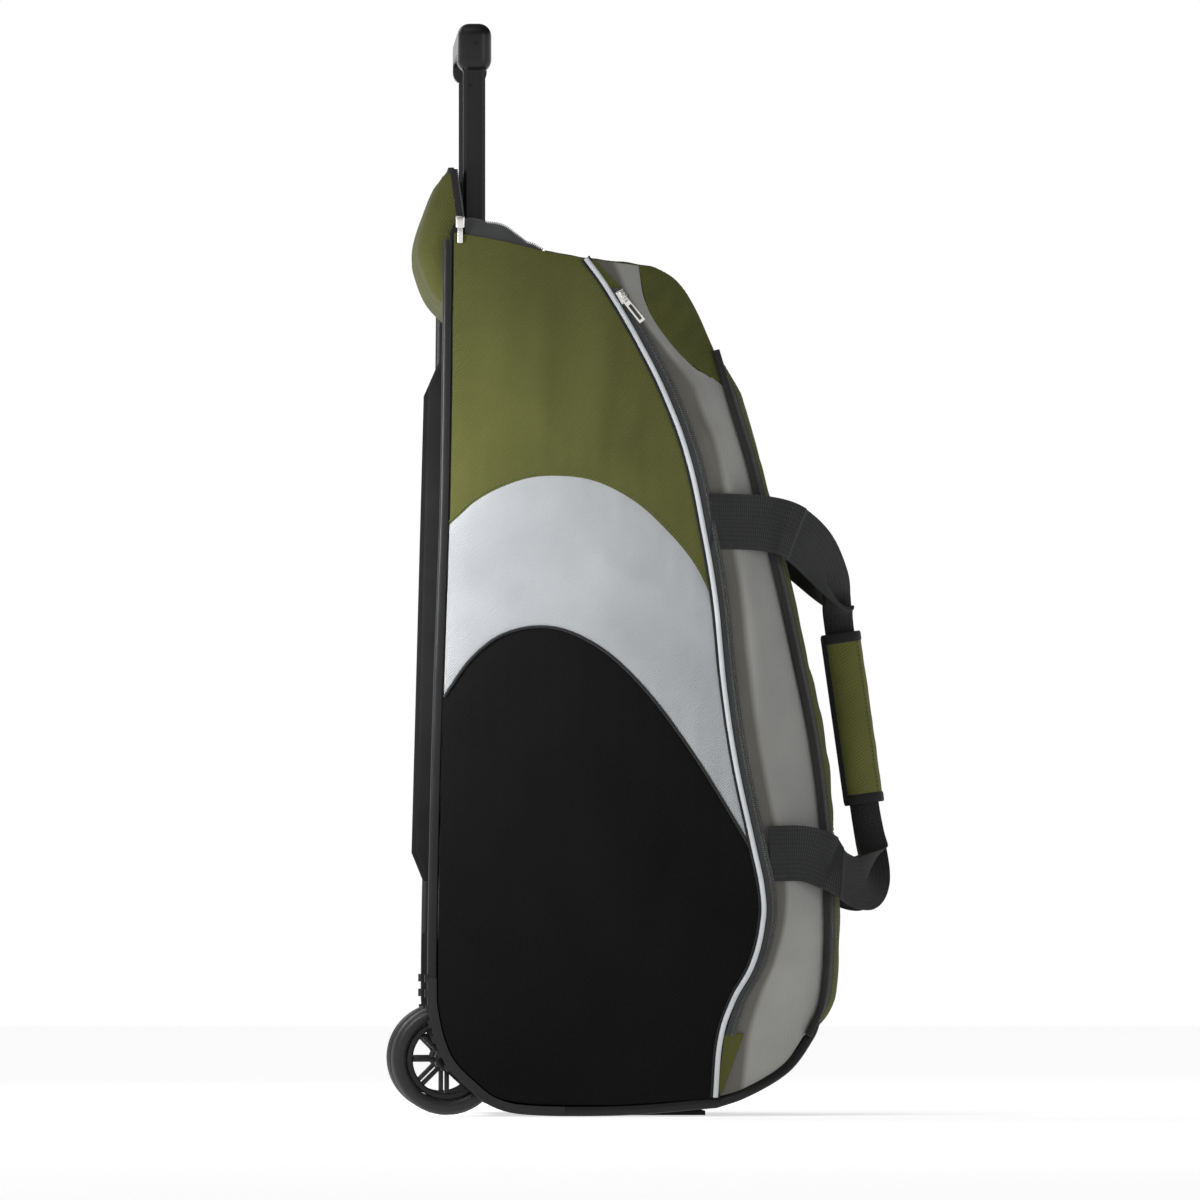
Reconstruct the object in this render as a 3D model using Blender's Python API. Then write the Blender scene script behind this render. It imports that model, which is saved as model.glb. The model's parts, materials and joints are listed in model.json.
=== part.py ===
"""Wheeled duffel bag with a telescopic handle, standing on its wheels and base.

The side outline and its seams are short tables of shares of the body's depth and height.
Every cloth panel is a thin wall between those seams. +X is the front, -Y the near side.
The origin is on the floor, under the middle of the flat base.
"""

import math
from collections import namedtuple

import bmesh
import bpy
from mathutils import Matrix, Vector

# Driving sizes of the bag, in metres
BODY_HEIGHT = 0.800
BODY_DEPTH = 0.366
BODY_WIDTH = 0.340
BASE_CENTRE = 0.40
CLOTH = 0.0025
GAP = 0.0004
SEAM_INSET = 0.0014
CUT_OVERRUN = 0.010
SIDE_SWELL = 0.006
FRONT_FALL = 0.045
FALL_SPAN = 0.19
FRONT_CROWN = 0.018
TOP_CROWN = 0.005

# Edge rim, piping, zips
RIM_RADIUS = 0.0045
PIPING_RADIUS = 0.0022
BLACK_PIPING_RADIUS = 0.0028
ZIP_WIDTH = 0.011
MOUTH_TAPE = 0.016
ZIP_SEAM = 0.008
ZIP_THICKNESS = 0.0016
ZIP_LIFT = 0.0012
SLIDER_LENGTH = 0.012
SLIDER_WIDTH = 0.008
SLIDER_THICKNESS = 0.004
PULL_LENGTH = 0.026
PULL_WIDTH = 0.007
PULL_THICKNESS = 0.0016

# Moulded base and wheels
BASE_WALL = 0.004
WHEEL_RADIUS = 0.050
WHEEL_WIDTH = 0.026
WHEEL_SETBACK = 0.009
WELL_CLEARANCE = 0.007
WELL_WALL = 0.003
WHEEL_SIDE_GAP = 0.0025
TYRE_DEPTH = 0.013
RIM_BAND = 0.006
HUB_RADIUS = 0.011
AXLE_RADIUS = 0.004
AXLE_BOSS = 0.008
SPOKES = 8
SPOKE_WIDTH = 0.0045
SPOKE_THICKNESS = 0.016

# Telescopic handle
TUBE_TRACK = BODY_WIDTH - 0.140
TUBE_SETBACK = 0.0345
INNER_TUBE = (0.020, 0.014)
INNER_WALL = 0.0015
OUTER_WALL = 0.0015
SLIDE_CLEARANCE = 0.0006
INNER_TUBE_LENGTH = 0.775 * BODY_HEIGHT
HANDLE_TOP = BODY_HEIGHT + 0.187
OUTER_TUBE_LENGTH = 0.8125 * BODY_HEIGHT
OUTER_TUBE_FOOT = 0.140 * BODY_HEIGHT
COLLAR_HEIGHT = 0.016
COLLAR_MARGIN = 0.005
COLLAR_DROP = 0.004
COLLAR_SEAT = 0.0008
FOOT_RISE = 0.006
TUBE_CORNER = 0.003
GRIP_DEPTH = 0.031
GRIP_HEIGHT = 0.044
GRIP_BAR = 0.026
GRIP_END = 0.026
GRIP_CORNER = 0.0118
GRIP_END_BEVEL = 0.004
SOCKET_DEPTH = 0.030

# Back rails
RAIL_WIDTH = 0.030
RAIL_THICKNESS = 0.020
RAIL_TRACK = BODY_WIDTH - 0.110
RAIL_FOOT = 0.265 * BODY_HEIGHT
RAIL_LENGTH = 0.590 * BODY_HEIGHT
RAIL_CHAMFER = 0.026
RAIL_TIP = 0.009

# Carry straps and their wrap
STRAP_WIDTH = 0.050
STRAP_THICKNESS = 0.0024
STRAP_SEAT = 0.0024
STRAP_RAMP = 0.020
WRAP_LEAN = 0.0212
WRAP_LENGTH = 0.150
WRAP_DEPTH = 0.040
WRAP_WIDTH = 0.034
WRAP_WALL = 0.0035

# Open flap behind the handle
FLAP_WIDTH = BODY_WIDTH - 0.040
FLAP_RISE = 0.058
FLAP_DROP = 0.072
FLAP_BULGE = 0.032
FLAP_CLOSING = 0.006
FLAP_PROFILE = [(0.0, -1.0), (0.62, -0.72), (0.94, -0.37), (1.0, -0.15), (0.83, 0.22), (0.49, 0.71),
                (0.12, 1.0)]

Seam = namedtuple("Seam", "depth height")
Bend = namedtuple("Bend", "depth half height turn fold")

BACK_EDGE = [Seam(0.002, 0.161), Seam(0.008, 0.330), Seam(0.016, 0.470), Seam(0.026, 0.600),
             Seam(0.033, 0.700), Seam(0.038, 0.850), Seam(0.041, 0.993)]
CORNER = [Seam(0.246, 0.012), Seam(0.155, 0.019), Seam(0.096, 0.038), Seam(0.037, 0.068),
          Seam(0.007, 0.113), Seam(0.002, 0.161)]
BOTTOM_EDGE = [Seam(0.246, 0.012), Seam(0.460, 0.012), Seam(0.683, 0.020)]
NOSE = [Seam(0.683, 0.020), Seam(0.757, 0.030), Seam(0.855, 0.056), Seam(0.912, 0.090)]
WHITE_SEAM = [Seam(0.683, 0.020), Seam(0.695, 0.084), Seam(0.727, 0.129), Seam(0.774, 0.169),
              Seam(0.799, 0.214), Seam(0.799, 0.253), Seam(0.774, 0.309), Seam(0.732, 0.399),
              Seam(0.703, 0.489), Seam(0.683, 0.579), Seam(0.654, 0.658), Seam(0.617, 0.737),
              Seam(0.565, 0.804), Seam(0.499, 0.866), Seam(0.420, 0.928), Seam(0.364, 0.964)]
FRONT_SEAM = [Seam(0.912, 0.090), Seam(0.946, 0.129), Seam(0.956, 0.186), Seam(0.955, 0.242),
              Seam(0.946, 0.330), Seam(0.921, 0.422), Seam(0.886, 0.500), Seam(0.845, 0.585),
              Seam(0.799, 0.669), Seam(0.764, 0.735), Seam(0.728, 0.790), Seam(0.683, 0.861)]
TOP_EDGE = [Seam(0.041, 0.993), Seam(0.155, 0.984), Seam(0.265, 0.972), Seam(0.364, 0.964),
            Seam(0.499, 0.958), Seam(0.560, 0.951), Seam(0.609, 0.932), Seam(0.643, 0.903),
            Seam(0.683, 0.861)]
SHOULDER = [Seam(0.499, 0.958), Seam(0.512, 0.917), Seam(0.560, 0.878), Seam(0.634, 0.842),
            Seam(0.706, 0.824)]
SILVER_TOP = [Seam(0.030, 0.664), Seam(0.106, 0.694), Seam(0.204, 0.714), Seam(0.290, 0.719),
              Seam(0.388, 0.713), Seam(0.486, 0.690), Seam(0.568, 0.656), Seam(0.634, 0.619),
              Seam(0.684, 0.574)]
SILVER_FOOT = [Seam(0.016, 0.470), Seam(0.081, 0.512), Seam(0.155, 0.539), Seam(0.241, 0.549),
               Seam(0.327, 0.543), Seam(0.425, 0.517), Seam(0.523, 0.472), Seam(0.622, 0.411),
               Seam(0.708, 0.349), Seam(0.781, 0.292)]
GUSSET_FRONT = [row for row in FRONT_SEAM if row.height < 0.8] + SHOULDER[::-1]
GUSSET_STEPS = 20
WRAP_FOOT = Seam(1.072, 0.356)
MOUTH_FRONT = 0.265
BASE_FRONT = 0.660
BASE_TOP = 0.205
BACK_FOOT = 0.172
BACK_TOP = 0.993
BASE_HEEL = 0.161
SLIDER_PLACE = 0.915
MAIN_ZIP_ENDS = (0.090, 0.930)

MATERIALS = {
    "olive_cloth": ((0.14, 0.16, 0.045), 0.75, 0.0),
    "silver_cloth": ((0.50, 0.52, 0.54), 0.55, 0.0),
    "black_cloth": ((0.012, 0.012, 0.013), 0.70, 0.0),
    "grey_cloth": ((0.22, 0.22, 0.21), 0.70, 0.0),
    "webbing": ((0.035, 0.036, 0.038), 0.85, 0.0),
    "black_plastic": ((0.015, 0.015, 0.016), 0.40, 0.0),
    "black_metal": ((0.012, 0.012, 0.013), 0.30, 0.8),
    "piping_white": ((0.75, 0.77, 0.80), 0.40, 0.0),
    "zip_tape": ((0.05, 0.05, 0.055), 0.80, 0.0),
    "nickel": ((0.70, 0.69, 0.66), 0.25, 1.0),
    "tyre_rubber": ((0.012, 0.012, 0.012), 0.55, 0.0),
}


def clear_scene():
    for old in list(bpy.data.objects):
        bpy.data.objects.remove(old, do_unlink=True)


def material(name):
    found = bpy.data.materials.get(name)
    if found:
        return found
    colour, roughness, metallic = MATERIALS[name]
    made = bpy.data.materials.new(name)
    made.use_nodes = True
    shader = made.node_tree.nodes["Principled BSDF"]
    shader.inputs["Base Color"].default_value = (*colour, 1.0)
    shader.inputs["Roughness"].default_value = roughness
    shader.inputs["Metallic"].default_value = metallic
    return made


def add_object(name, mesh_data, finish, smooth=True):
    """Weld, orient and link a bmesh as a named object."""
    bmesh.ops.remove_doubles(mesh_data, verts=mesh_data.verts, dist=0.00002)
    bmesh.ops.recalc_face_normals(mesh_data, faces=mesh_data.faces)
    mesh = bpy.data.meshes.new(name)
    mesh_data.to_mesh(mesh)
    mesh_data.free()
    if smooth:
        mesh.shade_smooth()
        mesh.set_sharp_from_angle(angle=math.radians(35))
    made = bpy.data.objects.new(name, mesh)
    mesh.materials.append(material(finish))
    bpy.context.collection.objects.link(made)
    return made


def blend(a, b, t):
    return a + (b - a) * t


def place(seam):
    """World x and z of a point given as shares of depth and height."""
    return Vector(((seam[0] - BASE_CENTRE) * BODY_DEPTH, seam[1] * BODY_HEIGHT))


def smooth_curve(rows):
    """A Catmull-Rom curve through rows of equal length, as a function of t from 0 to 1."""
    points = [Vector(row) for row in rows]
    chords = [0.0]
    for first, second in zip(points, points[1:]):
        chords.append(chords[-1] + (second - first).length)
    total = chords[-1]

    def at(t):
        reach = min(max(t, 0.0), 1.0) * total
        i = max(k for k in range(len(points) - 1) if chords[k] <= reach + 1e-12)
        span = chords[i + 1] - chords[i]
        s = (reach - chords[i]) / span
        before = points[i - 1] if i else points[0] * 2 - points[1]
        after = points[i + 2] if i + 2 < len(points) else points[-1] * 2 - points[-2]
        one, two = points[i], points[i + 1]
        return 0.5 * (2 * one + (two - before) * s + (2 * before - 5 * one + 4 * two - after) * s * s
                      + (3 * one - before - 3 * two + after) * s * s * s)

    return at


def depth_at(rows, height):
    """Depth share of a rising seam at a height share, straight between its rows."""
    if height <= rows[0].height:
        return rows[0].depth
    for low, high in zip(rows, rows[1:]):
        if height <= high.height:
            t = (height - low.height) / (high.height - low.height)
            return blend(low.depth, high.depth, t)
    return rows[-1].depth


def part_of(rows, low, high):
    """The stretch of a rising seam between two height shares, with its own rows kept."""
    inner = [row for row in rows if low + 0.01 < row.height < high - 0.01]
    ends = [Seam(depth_at(rows, low), low), Seam(depth_at(rows, high), high)]
    return [ends[0], *inner, ends[1]]


def half_width(depth, height):
    """Half the bag's width at a point of its side: level to the white seam, then falling in."""
    past = max(0.0, depth - depth_at(WHITE_SEAM, height))
    inside = max(0.0, min(1.0, depth / 0.7)) * max(0.0, min(1.0, height))
    swell = SIDE_SWELL * 16 * inside * (1 - max(0.0, min(1.0, depth / 0.7))) * (1 - height)
    return BODY_WIDTH / 2 + swell - FRONT_FALL * (past / FALL_SPAN) ** 1.4


def slopes(depth, height):
    """How fast the half width changes with x and with z."""
    step = 0.004
    along_x = half_width(depth + step, height) - half_width(depth - step, height)
    along_z = half_width(depth, height + step) - half_width(depth, height - step)
    return along_x / (2 * step * BODY_DEPTH), along_z / (2 * step * BODY_HEIGHT)


def inside_width(depth, height):
    """Half the width between the inner faces of the two sides, less a gap."""
    slope_x, slope_z = slopes(depth, height)
    return half_width(depth, height) - CLOTH * math.sqrt(1 + slope_x ** 2 + slope_z ** 2) - 2 * GAP


def side_point(depth, height, side, sink=0.0):
    """A point on the bag's side, sunk along the surface's own normal."""
    base = half_width(depth, height)
    slope_x, slope_z = slopes(depth, height)
    x, z = place((depth, height))
    normal = Vector((-slope_x, 1.0, -slope_z)).normalized()
    point = Vector((x, base, z)) - normal * sink
    return Vector((point.x, point.y * side, point.z))


def wall_between(outer, inner):
    """A closed wall from two grids of points with the same rows and columns."""
    made = bmesh.new()
    rows, columns = len(outer), len(outer[0])
    faces = [[made.verts.new(p) for p in row] for row in outer]
    backs = [[made.verts.new(p) for p in row] for row in inner]
    for i in range(rows - 1):
        for j in range(columns - 1):
            made.faces.new((faces[i][j], faces[i + 1][j], faces[i + 1][j + 1], faces[i][j + 1]))
            made.faces.new((backs[i][j], backs[i][j + 1], backs[i + 1][j + 1], backs[i + 1][j]))
    border = [(i, 0) for i in range(rows)] + [(rows - 1, j) for j in range(1, columns)]
    border += [(i, columns - 1) for i in range(rows - 2, -1, -1)]
    border += [(0, j) for j in range(columns - 2, 0, -1)]
    for (i, j), (k, m) in zip(border, border[1:] + border[:1]):
        made.faces.new((faces[i][j], faces[k][m], backs[k][m], backs[i][j]))
    return made


def patch(name, left, right, foot, top, counts, side, finish):
    """A side panel between four seams, each given as rows of shares."""
    across, up = counts
    left, right, foot, top = (smooth_curve(rows) for rows in (left, right, foot, top))
    shares = []
    for i in range(across + 1):
        u = i / across
        row = []
        for j in range(up + 1):
            v = j / up
            ruled = left(v) * (1 - u) + right(v) * u + foot(u) * (1 - v) + top(u) * v
            start = left(0) * (1 - v) + left(1) * v
            end = right(0) * (1 - v) + right(1) * v
            row.append(ruled - start * (1 - u) - end * u)
        shares.append(row)
    pulled = [[shares[i][j] + inward(shares, i, j) for j in range(up + 1)] for i in range(across + 1)]
    outer = [[side_point(*p, side) for p in row] for row in pulled]
    inner = [[side_point(*p, side, CLOTH) for p in row] for row in pulled]
    return add_object(name, wall_between(outer, inner), finish)


def inward(grid, i, j):
    """The step, in shares, that moves a border point of a grid into it by the seam's inset."""
    rows, columns = len(grid) - 1, len(grid[0]) - 1
    pull = Vector((0.0, 0.0))
    if i in (0, rows):
        pull += unit_of(grid[1 if i == 0 else rows - 1][j] - grid[i][j]) * SEAM_INSET
    if j in (0, columns):
        pull += unit_of(grid[i][1 if j == 0 else columns - 1] - grid[i][j]) * GAP
    return Vector((pull[0] / BODY_DEPTH, pull[1] / BODY_HEIGHT))


def unit_of(vector):
    """The direction of a step in shares, measured in metres."""
    size = Vector((vector[0] * BODY_DEPTH, vector[1] * BODY_HEIGHT))
    return size.normalized() if size.length > 1e-9 else Vector((0.0, 0.0))


def outline_normal(curve, t):
    """The outward normal, in x and z, of an outline curve that runs round the bag."""
    step = 0.01
    ahead = place(curve(min(1.0, t + step)))
    behind = place(curve(max(0.0, t - step)))
    along = (ahead - behind).normalized()
    return Vector((along[1], -along[0]))


def band(name, rows, finish, steps, lanes, crown=0.0, edge=0.0, ends=0.0):
    """A panel across the bag's whole width along rows of its outline, front side out."""
    curve = smooth_curve(rows)
    outer, inner = [], []
    for i in range(steps + 1):
        t = blend(ends, 1 - ends, i / steps)
        share = curve(t)
        x, z = place(share)
        nx, nz = outline_normal(curve, t)
        half = inside_width(*share) - edge
        rise = [crown * (1 - (2 * j / lanes - 1) ** 2) ** 0.6 for j in range(lanes + 1)]
        lane = [half * (2 * j / lanes - 1) for j in range(lanes + 1)]
        outer.append([Vector((x + nx * r, y, z + nz * r)) for r, y in zip(rise, lane)])
        inner.append([point - Vector((nx, 0.0, nz)) * CLOTH for point in outer[-1]])
    return add_object(name, wall_between(outer, inner), finish)


def cord(name, points, radius, finish):
    """A filled round cord through points a few diameters apart."""
    curve = bpy.data.curves.new(name, "CURVE")
    curve.dimensions = "3D"
    curve.bevel_depth = radius
    curve.bevel_resolution = 1
    curve.use_fill_caps = True
    spline = curve.splines.new("POLY")
    spline.points.add(len(points) - 1)
    for slot, point in zip(spline.points, points):
        slot.co = (*point, 1.0)
    made = bpy.data.objects.new(name, curve)
    curve.materials.append(material(finish))
    bpy.context.collection.objects.link(made)
    return made


def block(name, low, high, finish, bevel=0.0):
    """A box between two corners, with its edges rounded."""
    made = bmesh.new()
    size = [b - a for a, b in zip(low, high)]
    middle = [(a + b) / 2 for a, b in zip(low, high)]
    fit = Matrix.Translation(middle) @ Matrix.Diagonal((*size, 1.0))
    bmesh.ops.create_cube(made, size=1.0, matrix=fit)
    if bevel:
        bmesh.ops.bevel(made, geom=made.edges[:], offset=bevel, segments=1, affect="EDGES", profile=0.5)
    return add_object(name, made, finish, smooth=False)


def drum(name, centre, radius, low, high, finish, sides=24):
    """A cylinder along Y between two y values, as a mesh object."""
    made = bmesh.new()
    turn = Matrix.Translation((centre[0], (low + high) / 2, centre[1]))
    turn = turn @ Matrix.Rotation(math.pi / 2, 4, "X")
    bmesh.ops.create_cone(made, cap_ends=True, segments=sides, radius1=radius, radius2=radius,
                          depth=high - low, matrix=turn)
    return add_object(name, made, finish, smooth=False)


def combine(target, tool, operation):
    """Apply a Boolean of a tool to a target and remove the tool."""
    modifier = target.modifiers.new(operation.lower(), "BOOLEAN")
    modifier.operation = operation
    modifier.solver = "EXACT"
    modifier.object = tool
    bpy.context.view_layer.update()
    evaluated = target.evaluated_get(bpy.context.evaluated_depsgraph_get())
    solid = bpy.data.meshes.new_from_object(evaluated)
    target.modifiers.clear()
    target.data = close_pinholes(solid)
    bpy.data.objects.remove(tool, do_unlink=True)


def close_pinholes(mesh):
    """Fill the zero-area gaps that a cut leaves where three points lie on one line."""
    made = bmesh.new()
    made.from_mesh(mesh)
    bmesh.ops.holes_fill(made, edges=[edge for edge in made.edges if edge.is_boundary], sides=4)
    made.to_mesh(mesh)
    made.free()
    return mesh


def side_names(stem):
    return [(f"{stem}_left", -1), (f"{stem}_right", 1)]


def side_panels():
    mouth_top = [row for row in TOP_EDGE if row.depth <= 0.364]
    for name, side in side_names("side_upper"):
        patch(name, part_of(BACK_EDGE, 0.664, BACK_TOP), part_of(WHITE_SEAM, 0.574, 0.964),
              SILVER_TOP, mouth_top, (8, 6), side, "olive_cloth")
    for name, side in side_names("side_arc"):
        patch(name, part_of(BACK_EDGE, 0.470, 0.664), part_of(WHITE_SEAM, 0.292, 0.574),
              SILVER_FOOT, SILVER_TOP, (8, 4), side, "silver_cloth")
    for name, side in side_names("side_lower"):
        lower_back = CORNER + part_of(BACK_EDGE, BASE_HEEL, 0.470)[1:]
        patch(name, lower_back, part_of(WHITE_SEAM, 0.020, 0.292), BOTTOM_EDGE, SILVER_FOOT,
              (8, 8), side, "black_cloth")
    for name, side in side_names("front_gusset"):
        top = [WHITE_SEAM[-1], SHOULDER[0]]
        patch(name, WHITE_SEAM, GUSSET_FRONT, NOSE, top, (5, GUSSET_STEPS), side, "grey_cloth")
    for name, side in side_names("shoulder"):
        gusset_front = smooth_curve(GUSSET_FRONT)
        first = round(GUSSET_STEPS * 0.75)
        lower = [Seam(*gusset_front(i / GUSSET_STEPS)) for i in range(first, GUSSET_STEPS + 1)]
        upper = [row for row in TOP_EDGE if row.depth > lower[-1].depth + 0.02][::-1]
        tip, root = Seam(0.700, 0.832), Seam(lower[-1].depth + 0.016, 0.957)
        patch(name, lower, [tip, *upper, root], [lower[0], tip], [lower[-1], root], (3, len(lower) - 1), side,
              "olive_cloth")


def bands():
    top = [row for row in TOP_EDGE if row.depth >= MOUTH_FRONT][::-1]
    band("top_panel", top, "olive_cloth", 8, 6, crown=TOP_CROWN, ends=0.004)
    room = ZIP_SEAM + 4 * GAP
    band("front_panel", FRONT_SEAM, "olive_cloth", 12, 8, crown=FRONT_CROWN, edge=room, ends=0.004)
    bottom = [Seam(BASE_FRONT + 0.006, 0.0195), *NOSE]
    band("bottom_panel", bottom, "black_cloth", 4, 4, ends=0.006)
    back = [row for row in BACK_EDGE if row.height > BACK_FOOT][::-1] + [Seam(0.004, BACK_FOOT)]
    band("back_panel", back, "black_cloth", 6, 4)


def outline_path(out, start_height=0.985):
    """The rim's route from the top of the back, round the corner and base, to the nose."""
    rows = part_of(BACK_EDGE, BASE_HEEL, start_height)[::-1] + CORNER[::-1][1:] + BOTTOM_EDGE[1:] + NOSE[1:]
    curve = smooth_curve(rows)
    steps = 44
    points = []
    for i in range(steps + 1):
        share = curve(i / steps)
        normal = outline_normal(curve, i / steps)
        points.append((share, place(share) + normal * out))
    return points


def rims():
    for name, side in side_names("edge_rim"):
        route = outline_path(RIM_RADIUS + 2 * GAP)
        points = [Vector((p[0], side * (half_width(*share) - RIM_RADIUS), p[1])) for share, p in route]
        cord(name, points, RIM_RADIUS, "black_plastic")


def seam_cord(rows, steps, rise):
    """Points of a cord that lies on a seam of the side, for the side +Y."""
    curve = smooth_curve(rows)
    points = []
    for i in range(steps + 1):
        depth, height = curve(i / steps)
        points.append(side_point(depth, height, 1, -rise))
    return points


def pipings():
    for name, side in side_names("white_piping"):
        points = [Vector((p.x, p.y * side, p.z)) for p in seam_cord(WHITE_SEAM, 30, PIPING_RADIUS + GAP)]
        cord(name, points, PIPING_RADIUS, "piping_white")
    for name, side in side_names("black_piping"):
        route = seam_cord(FRONT_SEAM, 20, BLACK_PIPING_RADIUS + GAP)
        points = [Vector((p.x, p.y * side, p.z)) for p in route]
        cord(name, points, BLACK_PIPING_RADIUS, "black_plastic")


def tape(name, rows, low, high, side, steps):
    """A zip's tape that lies on the side, beside a seam."""
    curve = smooth_curve(part_of(rows, low, high))
    start = (PIPING_RADIUS + GAP * 2) / BODY_DEPTH
    columns = [start, start + ZIP_WIDTH / BODY_DEPTH]
    outer, inner = [], []
    for i in range(steps + 1):
        depth, height = curve(i / steps)
        outer.append([side_point(depth + c, height, side, -ZIP_LIFT - ZIP_THICKNESS) for c in columns])
        inner.append([side_point(depth + c, height, side, -ZIP_LIFT) for c in columns])
    return add_object(name, wall_between(outer, inner), "zip_tape")


def zips():
    for name, side in side_names("main_zip"):
        tape(name, WHITE_SEAM, *MAIN_ZIP_ENDS, side, 22)
    front_zip()
    mouth_zip()


def front_zip():
    """The front pocket's zip: a strip round the front panel, on each side of it."""
    for name, side in side_names("front_zip"):
        curve = smooth_curve(FRONT_SEAM)
        outer, inner = [], []
        steps = 12
        for i in range(steps + 1):
            t = blend(0.004, 0.996, i / steps)
            share = curve(t)
            x, z = place(share)
            nx, nz = outline_normal(curve, t)
            edge = inside_width(*share) - 4 * GAP
            span = (edge - ZIP_SEAM + GAP, edge)
            outer.append([Vector((x, side * y, z)) for y in span])
            inner.append([Vector((x - nx * CLOTH, side * y, z - nz * CLOTH)) for y in span])
        add_object(name, wall_between(outer, inner), "zip_tape")


def mouth_zip():
    """The tape that stands along the mouth's two side edges and its front edge."""
    rows = [row for row in TOP_EDGE if row.depth <= MOUTH_FRONT]
    for name, side in side_names("mouth_zip"):
        curve = smooth_curve(rows)
        outer, inner = [], []
        steps = 6
        for i in range(steps + 1):
            t = blend(0.12, 0.97, i / steps)
            share = curve(t)
            x, z = place(share)
            stand = MOUTH_TAPE * (0.25 + 0.75 * math.sin(math.pi * min(1.0, t * 1.15 + 0.1)))
            y = inside_width(*share) + GAP
            outer.append([Vector((x, side * y, z - CLOTH)), Vector((x, side * (y - stand * 0.4), z + stand))])
            inner.append([Vector((x, side * (y - ZIP_THICKNESS), z - CLOTH)),
                          Vector((x, side * (y - stand * 0.4 - ZIP_THICKNESS), z + stand))])
        add_object(name, wall_between(outer, inner), "zip_tape")


def base_outline(out, foot_lift=0.0):
    """The moulded base's outer face in x and z, from its top at the back to its front."""
    rows = part_of(BACK_EDGE, BASE_HEEL, BASE_TOP)[::-1] + CORNER[::-1][1:]
    curve = smooth_curve(rows)
    steps = 14
    points = [place(curve(i / steps)) + outline_normal(curve, i / steps) * out for i in range(steps + 1)]
    points = [Vector((p[0], max(p[1], foot_lift))) for p in points]
    points[-1][1] = foot_lift
    points.append(Vector((place((BASE_FRONT, 0))[0], foot_lift)))
    return points


def strip_solid(name, outer, inner, low, high, finish):
    """A bent plate: a strip in x and z between two lines, pulled along Y."""
    made = bmesh.new()
    loop = outer + inner[::-1]
    near = [made.verts.new((p[0], low, p[1])) for p in loop]
    far = [made.verts.new((p[0], high, p[1])) for p in loop]
    made.faces.new(near)
    made.faces.new(far[::-1])
    for i in range(len(loop)):
        k = (i + 1) % len(loop)
        made.faces.new((near[i], far[i], far[k], near[k]))
    return add_object(name, made, finish, smooth=False)


def wheel_places():
    """The wheel centre in x and z, and the y values of its outer and inner faces."""
    centre = Vector((place((0.0, 0.0))[0] + WHEEL_SETBACK, WHEEL_RADIUS))
    cheek = BODY_WIDTH / 2 - 2 * RIM_RADIUS - GAP
    outer = cheek - WELL_WALL - WHEEL_SIDE_GAP
    return centre, cheek, outer, outer - WHEEL_WIDTH


def moulded_base():
    centre, cheek, outer, inner = wheel_places()
    reach = 2 * RIM_RADIUS + GAP
    face = base_outline(reach)
    back = base_outline(reach - BASE_WALL, BASE_WALL)
    sunk = base_outline(reach - BASE_WALL / 2, BASE_WALL / 2)
    shell = strip_solid("base_shell", face, back, -cheek, cheek, "black_plastic")
    well_inner = inner - WHEEL_SIDE_GAP
    for side in (-1, 1):
        span = sorted((side * (well_inner - WELL_WALL), side * cheek))
        well = drum("well", centre, WHEEL_RADIUS + WELL_CLEARANCE + WELL_WALL, *span, "black_plastic")
        ahead = BODY_DEPTH / 2
        keep = strip_solid("keep", sunk, [Vector((ahead, sunk[0][1])), Vector((ahead, sunk[-1][1]))],
                           span[0] - CUT_OVERRUN, span[1] + CUT_OVERRUN, "black_plastic")
        combine(well, keep, "INTERSECT")
        for foot in (span[0] + GAP, span[1] - WELL_WALL):
            boss = drum("boss", centre, AXLE_BOSS, foot, foot + WELL_WALL - GAP, "black_plastic", 14)
            combine(well, boss, "UNION")
        combine(shell, well, "UNION")
        room = sorted((side * well_inner, side * (cheek - WELL_WALL)))
        space = drum("room", centre, WHEEL_RADIUS + WELL_CLEARANCE, *room, "black_plastic")
        combine(shell, space, "DIFFERENCE")
        hole = (span[0] - CUT_OVERRUN, span[1] + CUT_OVERRUN)
        bore = drum("hole", centre, AXLE_RADIUS + GAP, *hole, "black_plastic", 14)
        combine(shell, bore, "DIFFERENCE")
    return shell


def ring(name, centre, profile, finish, sides=28):
    """A turned ring about the wheel's axis, from a closed profile of radius and y."""
    made = bmesh.new()
    loops = []
    for i in range(sides):
        angle = 2 * math.pi * i / sides
        loops.append([made.verts.new((centre[0] + r * math.cos(angle), y, centre[1] + r * math.sin(angle)))
                      for r, y in profile])
    for i in range(sides):
        first, second = loops[i], loops[(i + 1) % sides]
        for j in range(len(profile)):
            k = (j + 1) % len(profile)
            made.faces.new((first[j], second[j], second[k], first[k]))
    return add_object(name, made, finish)


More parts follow.
